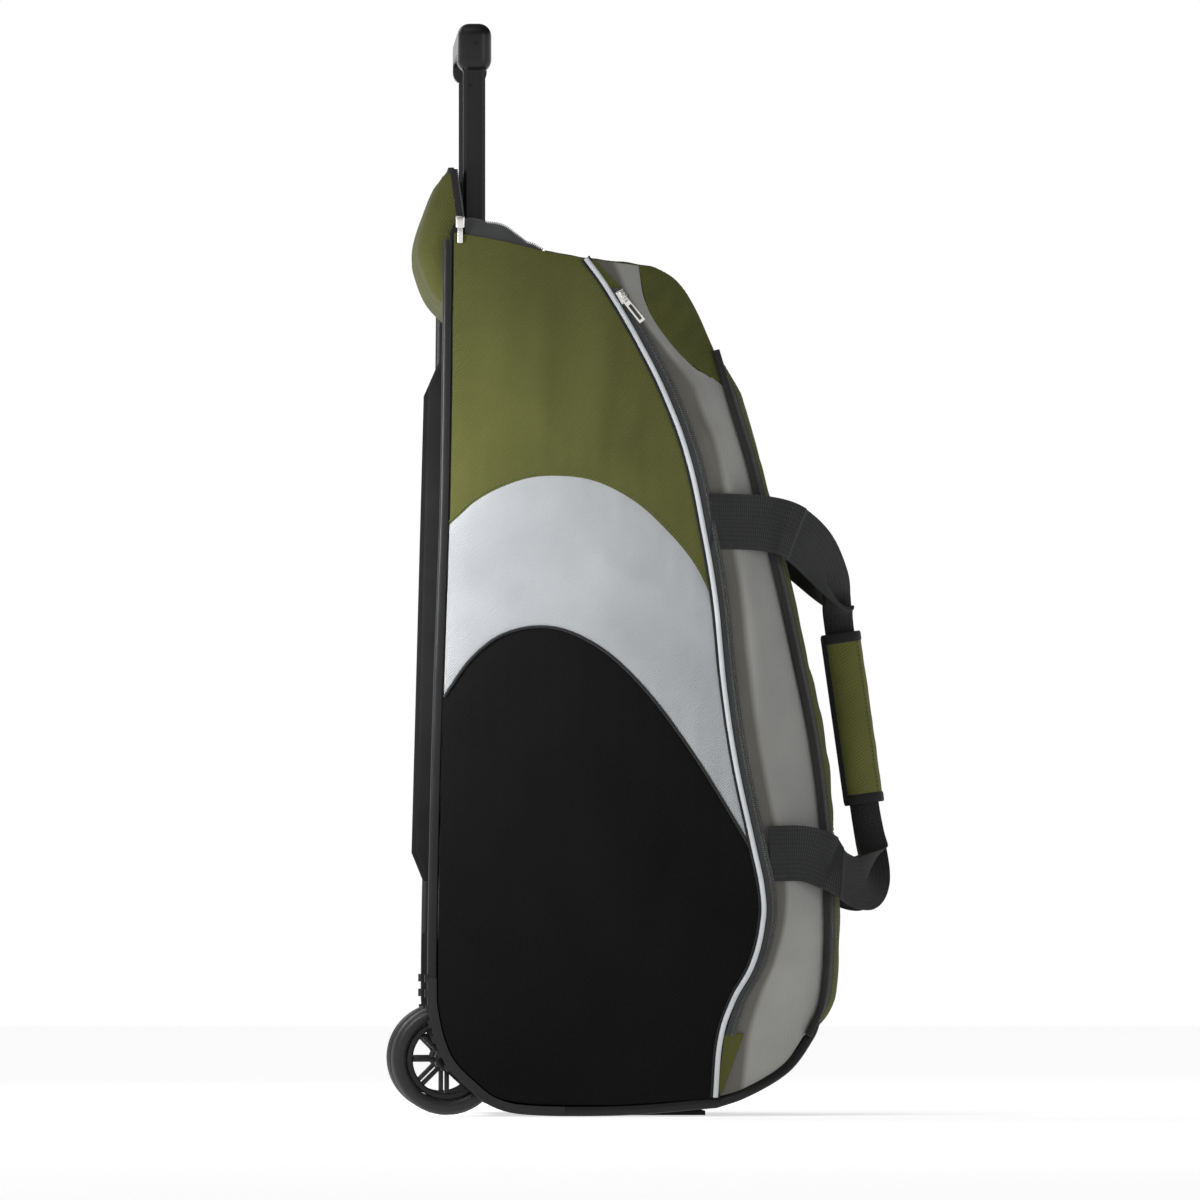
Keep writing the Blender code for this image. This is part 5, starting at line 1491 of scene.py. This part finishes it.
@dataclass
class PaddedWrap:
    """The olive padded sleeve that holds the straps together, bound in black."""

    foot: Row = (1.072, .356)
    lean: float = 0.0212
    length: float = 0.150
    half_depth: float = 0.0172
    half_width: float = 0.0162
    wall: float = 0.0034
    around: int = 64
    along: int = 90
    cap: float = 0.0030
    middle: float = 0.235

    def ring(self, t: float, inset: float) -> list[Vector]:
        """One ring of the sleeve's wall, at a share of its length and an inset from its face."""
        low = FORM.place(self.foot)
        high = low + Vector((-self.lean, self.length))
        middle = low * (1 - t) + high * t
        out = []
        for k in range(self.around):
            angle = 2 * math.pi * k / self.around
            c, s = math.cos(angle), math.sin(angle)
            a = (self.half_depth - inset) * math.copysign(abs(c) ** 0.72, c)
            b = (self.half_width - inset) * math.copysign(abs(s) ** 0.72, s)
            out.append(Vector((middle[0] + a, b, middle[1] + 0.14 * a)))
        return out

    def shell(self) -> bpy.types.Object:
        """The sleeve's closed wall, with a group that holds its lining and seams."""
        made = bmesh.new()
        cloth = made.loops.layers.uv.new("UVMap")
        layers = []
        for inset in (0.0, self.wall):
            layers.append([[made.verts.new(p) for p in self.ring(i / self.along, inset)]
                           for i in range(self.along + 1)])
        face, back = layers
        step = 2 * math.pi * self.half_depth / self.around
        for i in range(self.along):
            for k in range(self.around):
                m = (k + 1) % self.around
                for grid, turn in ((face, 1), (back, -1)):
                    corners = [(i, k), (i + 1, k), (i + 1, m), (i, m)][::turn]
                    poly = made.faces.new([grid[a][b] for a, b in corners])
                    for loop, (a, b) in zip(poly.loops, corners):
                        wide = b if b or k + 1 < self.around else self.around
                        loop[cloth].uv = (wide * step, a * self.length / self.along)
        for k in range(self.around):
            m = (k + 1) % self.around
            made.faces.new((face[0][k], back[0][k], back[0][m], face[0][m]))
            made.faces.new((face[-1][m], back[-1][m], back[-1][k], face[-1][k]))
        held = [v.co.copy() for i in range(self.along + 1) for v in back[i]]
        for i in (0, 1, self.along - 1, self.along):
            held += [v.co.copy() for v in face[i]]
        quarter = self.around // 4
        for i in range(self.along + 1):
            held += [face[i][k].co.copy() for k in (3 * quarter - 9, 3 * quarter + 9)]
        piece = link_mesh("strap_wrap", made, 60.0)
        spots = {tuple(round(c, 5) for c in p) for p in held}
        group = piece.vertex_groups.new(name="held")
        group.add([v.index for v in piece.data.vertices if tuple(round(c, 5) for c in v.co) in spots], 1.0,
                  "REPLACE")
        return piece

    def swell(self, piece: bpy.types.Object) -> None:
        """Fill the sleeve by a short cloth simulation, apply it and cap how far it moved."""
        start = [v.co.copy() for v in piece.data.vertices]
        Bench.pick(piece)
        cloth = piece.modifiers.new("padding", "CLOTH")
        cloth.settings.quality = 4
        cloth.settings.mass = 0.25
        cloth.settings.use_pressure = True
        cloth.settings.uniform_pressure_force = 4.0
        cloth.settings.effector_weights.gravity = 0.0
        cloth.settings.vertex_group_mass = "held"
        cloth.settings.tension_stiffness = cloth.settings.compression_stiffness = 8.0
        cloth.settings.bending_stiffness = 0.3
        cloth.point_cache.frame_start, cloth.point_cache.frame_end = 1, 20
        for step in range(1, 21):
            bpy.context.scene.frame_set(step)
        bpy.ops.object.modifier_apply(modifier=cloth.name)
        bpy.context.scene.frame_set(1)
        for vert, before in zip(piece.data.vertices, start):
            move = vert.co - before
            if move.length > self.cap:
                vert.co = before + move.normalized() * self.cap

    def build(self) -> None:
        """The sleeve, its black end bindings, its closing edge and its stitches."""
        piece = self.shell()
        self.swell(piece)
        piece.vertex_groups.clear()
        for vert in piece.data.vertices:
            p = vert.co
            vert.co = p + Vector((p.x - self.middle, p.y, 0.0)).normalized() * noise.noise(p * 70) * 0.0005
        # The wrap takes the lighter copy of the olive cloth, so painted light lifts its colour.
        enter(piece, "handle_wrap", finish=Finish.PAD)
        parts = []
        for t in (0.012, 0.988):
            ring = self.ring(t, 0.0010)
            hem = [(-0.0046, -0.0012), (0.0046, -0.0012), (0.0046, 0.0012), (0.0030, 0.0020),
                   (-0.0030, 0.0020), (-0.0046, 0.0012)]
            middle = sum(ring, Vector()) / len(ring)
            parts.append(sweep("hem", ring, [p - middle for p in ring], hem, closed=True))
        quarter = 3 * self.around // 4
        line = [self.ring(i / 60, -0.0006)[quarter - 11] for i in range(61)]
        edge = bar_section(0.0030, -0.0009, 0.0026, 0.0010)
        parts.append(sweep("edge", line, Vector((-0.5, -1.0, 0.0)), edge))
        enter(Bench.join(*parts), finish=Finish.BINDING).name = "wrap_binding"
        rows = []
        for shift in (-8, 7):
            points = [self.ring(blend(0.05, 0.95, i / 60), -0.0013)[quarter + shift] for i in range(61)]
            rows.append(repeat("row", points, Vector((0.0, -1.0, 0.0)), 0.0040, (0.0030, 0.0008, 0.0006)))
        enter(Bench.join(*rows), finish=Finish.THREAD).name = "wrap_stitches"


@dataclass
class Hood:
    """The unzipped cloth hood that hangs open behind the handle."""

    half: float = 0.150
    rise: float = 0.058
    drop: float = 0.072
    bulge: float = 0.032
    wall: float = 0.0022
    profile: tuple[Row, ...] = ((0.0, -1.0), (0.62, -0.72), (0.94, -0.37), (1.0, -0.15), (0.83, 0.22),
                                (0.49, 0.71), (0.12, 1.0))

    def section(self, t: float, inset: float) -> list[Vector]:
        """The hood's cut at a share of its height, from one front edge round its back to the other.

        Args:
            t: Share from the seam at its foot to its top hem.
            inset: Metres in from its face.

        Returns:
            The points of the cut.
        """
        face = FORM.place((0.041, 0.0))[0] - 0.0008
        base = FORM.height * 0.993
        lines = [(face - self.bulge * a, base + (self.drop if b < 0 else self.rise) * b)
                 for a, b in self.profile]
        x, z = smooth_curve(lines)(t)
        front = face + 0.006 * clamp((z - base) / 0.014) * clamp((base + self.rise - z) / 0.042)
        back, half = x + inset, self.half - inset
        corner = min(0.020, max(0.0005, front - back))
        points = []
        for k in range(5):
            points.append(Vector((blend(front, back + corner, k / 4), -half, z)))
        for k in range(1, 9):
            a = math.pi / 2 * k / 8
            points.append(Vector((back + corner * (1 - math.sin(a)),
                                  -half + corner * (1 - math.cos(a)), z)))
        for k in range(1, 41):
            points.append(Vector((back, blend(-half + corner, half - corner, k / 41), z)))
        mirrored = [Vector((p.x, -p.y, p.z)) for p in points[:13]][::-1]
        return points + mirrored

    def build(self) -> None:
        """The hood's cloth, its bound edges, its half zip, stitches and slider."""
        steps = 70
        outer, inner = [], []
        for i in range(steps + 1):
            t = i / steps
            line, back = self.section(t, 0.0), self.section(t, self.wall)
            calm = min(1.0, 10 * t * (1 - t))
            for points in (line, back):
                for p in points:
                    s = p.y / self.half
                    wave = noise.noise(Vector((p.y * 16, p.z * 22, 5.0))) * 0.0022
                    wave += 0.0014 * math.sin(p.y * 60 + p.z * 30) * (1 - s * s)
                    p.x -= calm * wave * clamp(2.5 * (1 - abs(s)) + 0.15)
            outer.append(line)
            inner.append(back)
        enter(sheet("hood_cloth", outer, inner), "flap", finish=Finish.OLIVE)
        hem = [(-0.0014, -0.0026), (0.0014, -0.0026), (0.0018, 0.0), (0.0014, 0.0026), (-0.0014, 0.0026),
               (-0.0018, 0.0)]
        top = [p + Vector((0.0011, 0.0, -0.0010)) for p in outer[-1]]
        sides = [[row[k] + Vector((0.0, -0.0011 * s, 0.0)) for row in outer[6:]]
                 for k, s in ((0, -1), (-1, 1))]
        parts = [sweep("hem", top, Vector((0.0, 0.0, 1.0)), hem)]
        parts += [sweep("hem", line, Vector((1.0, 0.0, 0.0)), hem) for line in sides]
        enter(Bench.join(*parts), finish=Finish.BINDING).name = "hood_binding"
        ahead = Vector((1.0, 0.0, 0.0))
        teeth = [repeat("teeth", [p + ahead * 0.0036 for p in line], ahead, 0.0017,
                        (0.0012, 0.0028, 0.0024)) for line in sides]
        section = bar_section(0.0006, -0.0030, 0.0006, 0.0030)
        tapes = [sweep("tape", [p + ahead * 0.0012 for p in line], ahead, section) for line in sides]
        enter(Bench.join(*tapes), finish=Finish.TAPE).name = "hood_tapes"
        enter(Bench.join(*teeth), finish=Finish.COIL).name = "hood_teeth"
        rows = []
        for k, s in ((2, -1), (-3, 1)):
            points = [row[k] + Vector((0.0, 0.0003 * s, 0.0)) for row in outer[8:-4]]
            ups = Vector((0.0, float(s), 0.0))
            rows.append(repeat("row", points, ups, STITCH_PITCH, STITCH_SIZE))
        points = [p + Vector((-0.0004, 0.0, 0.0)) for p in outer[-5][8:-8]]
        rows.append(repeat("row", points, Vector((-1.0, 0.0, 0.0)), STITCH_PITCH, STITCH_SIZE))
        enter(Bench.join(*rows), finish=Finish.OLIVE_THREAD).name = "hood_stitches"
        for side in Side:
            self.slider(side)

    def slider(self, side: Side) -> None:
        """The slider that rests at the foot of the opening, with its short pull."""
        x, z = at_pixel(460, 222)
        y = side.value * (FORM.inside_width(0.06, 0.98) + 0.0052)
        body = Bench.block("body", (x - 0.0040, y - 0.0022, z - 0.0055),
                           (x + 0.0040, y + 0.0022, z + 0.0055), 0.0012)
        plate = Bench.block("plate", (x - 0.0024, y - 0.0008, z - 0.0190),
                            (x + 0.0024, y + 0.0008, z - 0.0040), 0.0005)
        enter(Bench.merge(f"mouth_slider_{side.tag}", (body, plate)), finish=Finish.NICKEL)


@dataclass
class Chassis:
    """The moulded base, the wheels, the guard rails and the telescopic handle."""

    wheel_setback: float = 0.009
    wheel_radius: float = 0.050
    wheel_face: float = 0.1551
    tyre_half: float = 0.013
    tyre_depth: float = 0.013
    rim_band: float = 0.006
    hub: float = 0.011
    axle: float = 0.004
    spokes: int = 8
    tube_setback: float = 0.0345
    tube_track: float = 0.200
    grip_size: tuple[float, float, float] = (0.031, 0.226, 0.044)
    handle_top: float = 0.987

    @property
    def tube_x(self) -> float:
        """Place of the handle's tubes along the bag."""
        return FORM.place((0.0, 0.0))[0] + self.tube_setback

    def wheel_centre(self, side: Side) -> tuple[float, float, float]:
        """The middle of one wheel."""
        x = FORM.place((0.0, 0.0))[0] + self.wheel_setback
        return x, side.value * (self.wheel_face - self.tyre_half), self.wheel_radius

    @staticmethod
    def both_ways(half: Sequence[Row]) -> list[Row]:
        """A closed profile from its outer half and the mirror image of that half."""
        return [*half, *((radius, -y) for radius, y in half[::-1])]

    @staticmethod
    def softened(name: str, node: str, finish: Finish, width: float) -> None:
        """Replace a moulded solid by its own form with rounded edges.

        Args:
            name: The piece's name.
            node: The solid.
            finish: Its finish.
            width: Width of the rounding.
        """
        piece = Bench.copy(name, node)
        Bench.soften(piece, width, 2, 40.0)
        Bench.smooth(piece, 32.0)
        enter(piece, node, finish=finish)

    def tyre(self, side: Side) -> None:
        """A round-shouldered tyre with two shallow grooves round its tread."""
        r, bore, h = self.wheel_radius, self.wheel_radius - self.tyre_depth, self.tyre_half
        half = [(bore, 0.80 * h), (bore + 0.0012, 0.90 * h), (bore + 0.0040, 0.99 * h), (bore + 0.0062, h),
                (bore + 0.0085, 0.94 * h), (r - 0.0024, 0.80 * h), (r - 0.0009, 0.60 * h),
                (r - 0.0001, 0.42 * h), (r - 0.0009, 0.38 * h), (r - 0.0009, 0.32 * h), (r, 0.28 * h)]
        piece = Bench.turn(f"wheel_tyre_{side.tag}", self.wheel_centre(side), self.both_ways(half), 96)
        Bench.smooth(piece, 50.0)
        enter(piece, f"tyre_{side.tag}", finish=Finish.RUBBER, body=f"wheel_{side.tag}")

    def wheel(self, side: Side) -> None:
        """The moulded wheel: a ring, a stepped hub and eight bevelled spokes."""
        x, y, z = self.wheel_centre(side)
        seat = self.wheel_radius - self.tyre_depth - 0.0004
        low = seat - self.rim_band
        ring = ((low, 0.60), (low + 0.0010, 0.72), (seat - 0.0012, 0.74), (seat, 0.66))
        hub = ((self.axle + 0.0005, 0.86), (self.axle + 0.0012, 0.99), (self.hub - 0.0040, 0.99),
               (self.hub - 0.0032, 0.86), (self.hub - 0.0006, 0.82), (self.hub, 0.72))
        parts = []
        for name, half, steps in (("ring", ring, 96), ("hub", hub, 64)):
            profile = [(radius, share * self.tyre_half) for radius, share in self.both_ways(half)]
            parts.append(Bench.turn(name, (x, y, z), profile, steps))
        for k in range(self.spokes):
            blade = Bench.block("spoke", (x + self.hub - 0.0015, y - 0.0075, z - 0.0021),
                                (x + low + 0.0020, y + 0.0075, z + 0.0021), 0.0009, 2)
            Bench.pick(blade)
            with Bench.editing():
                bpy.ops.transform.rotate(value=2 * math.pi * k / self.spokes, orient_axis="Y",
                                         center_override=(x, y, z))
            parts.append(blade)
        piece = Bench.merge(f"wheel_core_{side.tag}", parts, 40.0)
        enter(piece, f"wheel_rim_{side.tag}", finish=Finish.PLASTIC, body=f"wheel_{side.tag}")

    def grip(self) -> None:
        """The moulded grip: a domed bar on two sockets, with a pin at each end."""
        dx, dy, dz = (s / 2 for s in self.grip_size)
        x, top = self.tube_x, self.handle_top
        bar = Bench.block("handle_grip", (x - dx, -dy, top - 2 * dz), (x + dx, dy, top), 0.0)
        for edge in bar.data.edges:
            a, b = (bar.data.vertices[k].co for k in edge.vertices)
            edge.select = abs(a.y - b.y) > 0.1 and min(a.z, b.z) > top - 0.001
        Bench.pick(bar)
        with Bench.editing(everything=False):
            bpy.ops.mesh.select_mode(type="EDGE")
            bpy.ops.mesh.bevel(offset=0.0112, segments=7, profile=0.5, affect="EDGES")
        inner = self.tube_track / 2 - 0.013
        room = Bench.block("room", (x - 0.04, -inner, top - 0.06), (x + 0.04, inner, top - 0.026), 0.0050, 5)
        Bench.cut(bar, room)
        for s in (-1, 1):
            y = s * self.tube_track / 2
            Bench.cut(bar, Bench.block("socket", (x - 0.0104, y - 0.0074, top - 0.060),
                                       (x + 0.0104, y + 0.0074, top - 0.014), 0.0))
        Bench.soften(bar, 0.0016, 3, 34.0)
        Bench.smooth(bar, 40.0)
        enter(bar, "grip", finish=Finish.GRIP, body="handle")
        px, pz = at_pixel(477, 39)
        pins = [Bench.drum("pin", (px, s * (dy + 0.0002), pz), 0.0017, 0.0016, 20, 0.0005) for s in (-1, 1)]
        enter(Bench.merge("grip_pins", pins), finish=Finish.METAL, body="handle")
        ribs = [Bench.block("rib", (x - 0.0128, y - 0.0011, top - 0.0266),
                            (x + 0.0128, y + 0.0011, top - 0.0256), 0.0004, 1)
                for y in (k * 0.0075 for k in range(-9, 10))]
        enter(Bench.merge("grip_ribs", ribs), finish=Finish.RUBBER, body="handle")

    def stays(self) -> None:
        """The spring buttons and the long raised lines of the inner tubes."""
        x = self.tube_x
        parts = []
        for s in (-1, 1):
            y = s * (self.tube_track / 2 + 0.0070)
            bx, bz = at_pixel(471, 82)
            parts.append(Bench.drum("button", (bx, y - s * 0.0004, bz), 0.0022, 0.0014, 20, 0.0003))
            low = self.handle_top - 0.600
            for dx in (-0.0052, 0.0050):
                parts.append(Bench.block("line", (x + dx - 0.0004, y - 0.0002, low),
                                         (x + dx + 0.0004, y + 0.0003, self.handle_top - 0.046),
                                         0.0001, 1))
        enter(Bench.merge("tube_details", parts), finish=Finish.METAL, body="handle")

    def build(self) -> None:
        """Every hard piece, and better finishes on the solids that stay."""
        self.softened("base_mould", "base_shell", Finish.SHELL, 0.0012)
        self.softened("collar_mould", "tube_collar", Finish.PLASTIC, 0.0010)
        self.softened("foot_mould", "tube_foot", Finish.PLASTIC, 0.0010)
        for side in Side:
            self.softened(f"guard_rail_{side.tag}", f"back_rail_{side.tag}", Finish.SHELL, 0.0022)
            self.tyre(side)
            self.wheel(side)
        self.grip()
        self.stays()
        for stem in ("axle", "inner_tube", "outer_tube"):
            for side in Side:
                for place in frame["nodes"][f"{stem}_{side.tag}"].material_slots:
                    place.material = Finish.METAL.material


@dataclass
class Studio:
    """A pale floor, soft lights and the camera at the photograph's angle."""

    azimuth: float = -1.7
    eye_height: float = 0.15
    distance: float = 13.0
    near: float = -0.17
    frame_width: float = 1.08
    sensor: float = 36.0
    belt: float = 0.16
    sky: tuple[float, float] = (0.03, 0.40)
    sun: float = 0.45
    sun_angle: float = 0.9
    lamps: tuple[tuple, ...] = (
        ("key_light", (-0.62, -0.56, 0.68), (-0.36, -0.17, 0.52), 0.30, 2.6, 1.2),
        ("fill_light", (1.9, -2.2, 1.2), (0.1, 0.0, 0.40), 1.4, 8.0),
        ("back_light", (-1.4, 1.6, 1.6), (0.0, 0.0, 0.50), 1.2, 12.0))
    floor_level: float = -0.0012
    floor_glow: float = 0.64

    def camera(self) -> None:
        """A long lens near the floor that looks along +Y, a little from the back."""
        turn = math.radians(self.azimuth)
        x, z = at_pixel(PHOTO_MIDDLE, PHOTO_MIDDLE)
        target = Vector((x, self.near, z))
        tilt = math.asin((self.eye_height - z) / self.distance)
        ahead = Vector((-math.sin(turn) * math.cos(tilt), math.cos(turn) * math.cos(tilt), -math.sin(tilt)))
        data = bpy.data.cameras.new("photo_camera")
        data.sensor_width = self.sensor
        data.lens = self.sensor * self.distance / self.frame_width
        data.clip_end = 100.0
        camera = bpy.data.objects.new("photo_camera", data)
        camera.location = target - ahead * self.distance
        camera.rotation_euler = ahead.to_track_quat("-Z", "Y").to_euler()
        bpy.context.collection.objects.link(camera)
        bpy.context.scene.camera = camera

    @staticmethod
    def lamp(name: str, place: Sequence[float], aim: Sequence[float], size: float, power: float,
             spread: float = math.pi) -> None:
        """A square soft light aimed at a point.

        Args:
            name: The light's name.
            place: Where it stands.
            aim: The point it faces.
            size: Length of its sides.
            power: Its power in watts.
            spread: The angle it shines in, in radians.
        """
        data = bpy.data.lights.new(name, "AREA")
        data.shape, data.size, data.energy, data.spread = "SQUARE", size, power, spread
        lamp = bpy.data.objects.new(name, data)
        lamp.location = place
        lamp.rotation_euler = (Vector(aim) - Vector(place)).to_track_quat("-Z", "Y").to_euler()
        bpy.context.collection.objects.link(lamp)

    def floor(self) -> None:
        """A wide white floor and the white room above it."""
        Bench.clear()
        bpy.ops.mesh.primitive_plane_add(size=30.0, location=(0.0, 0.0, self.floor_level))
        floor = bpy.context.object
        floor.name = "studio_floor"
        bpy.ops.object.transform_apply(location=True, rotation=True, scale=True)
        kit = Nodes("pale_floor", 0.85)
        kit.shader.inputs["Emission Color"].default_value = (1.0, 1.0, 1.0, 1.0)
        kit.shader.inputs["Emission Strength"].default_value = self.floor_glow
        cloud = kit.cloud("Object", 3.0)
        floor.data.materials.append(kit.finish(kit.mix(cloud, (0.90, 0.90, 0.90), (0.93, 0.93, 0.93)),
                                               kit.span(cloud, 0.8, 0.9), cloud, 0.0001, 0.1))

    def room(self) -> None:
        """A white belt round the horizon under a dimmer sky that is brighter on the left."""
        world = bpy.data.worlds.new("white_room")
        world.use_nodes = True
        tree = world.node_tree
        ground = tree.nodes["Background"]
        coords = tree.nodes.new("ShaderNodeTexCoord")
        split = tree.nodes.new("ShaderNodeSeparateXYZ")
        belt = tree.nodes.new("ShaderNodeMapRange")
        left = tree.nodes.new("ShaderNodeMapRange")
        tree.links.new(coords.outputs["Generated"], split.inputs[0])
        tree.links.new(split.outputs["Z"], belt.inputs["Value"])
        tree.links.new(split.outputs["X"], left.inputs["Value"])
        ranges = ((belt, (self.belt, self.belt * 1.6, 1.0, 0.0)), (left, (0.6, -0.9, *self.sky)))
        for node, values in ranges:
            for key, value in zip(("From Min", "From Max", "To Min", "To Max"), values):
                node.inputs[key].default_value = value
        mix = tree.nodes.new("ShaderNodeMix")
        tree.links.new(belt.outputs["Result"], mix.inputs[0])
        tree.links.new(left.outputs["Result"], mix.inputs[2])
        mix.inputs[3].default_value = 1.0
        tree.links.new(mix.outputs[0], ground.inputs["Strength"])
        ground.inputs["Color"].default_value = (1.0, 1.0, 1.0, 1.0)
        bpy.context.scene.world = world

    def build(self) -> None:
        """The floor, the lights, the camera and the plain view of colour."""
        self.floor()
        self.room()
        data = bpy.data.lights.new("soft_sun", "SUN")
        data.energy, data.angle = self.sun, self.sun_angle
        sun = bpy.data.objects.new("soft_sun", data)
        sun.rotation_euler = Vector((0.35, 0.40, -0.85)).to_track_quat("-Z", "Y").to_euler()
        bpy.context.collection.objects.link(sun)
        for values in self.lamps:
            self.lamp(*values)
        self.camera()
        bpy.context.scene.view_settings.view_transform = "Standard"


def main() -> None:
    """Build the studio and every sub-assembly in order, with a word on each piece."""
    logging.basicConfig(level=logging.INFO, format="%(name)s: %(message)s")
    Bench.clear()
    for assembly in (Studio(), SidePanels(), Gusset(), CrossBands(), Trims(), Zips(), CarryStraps(),
                     PaddedWrap(), Hood(), Chassis()):
        before = set(bpy.data.objects)
        assembly.build()
        for piece in sorted(set(bpy.data.objects) - before, key=lambda p: p.name):
            if piece.type == "MESH":
                LOG.info("%s %s: %d faces", type(assembly).__name__, piece.name, len(piece.data.polygons))


if __name__ == "__main__":
    main()
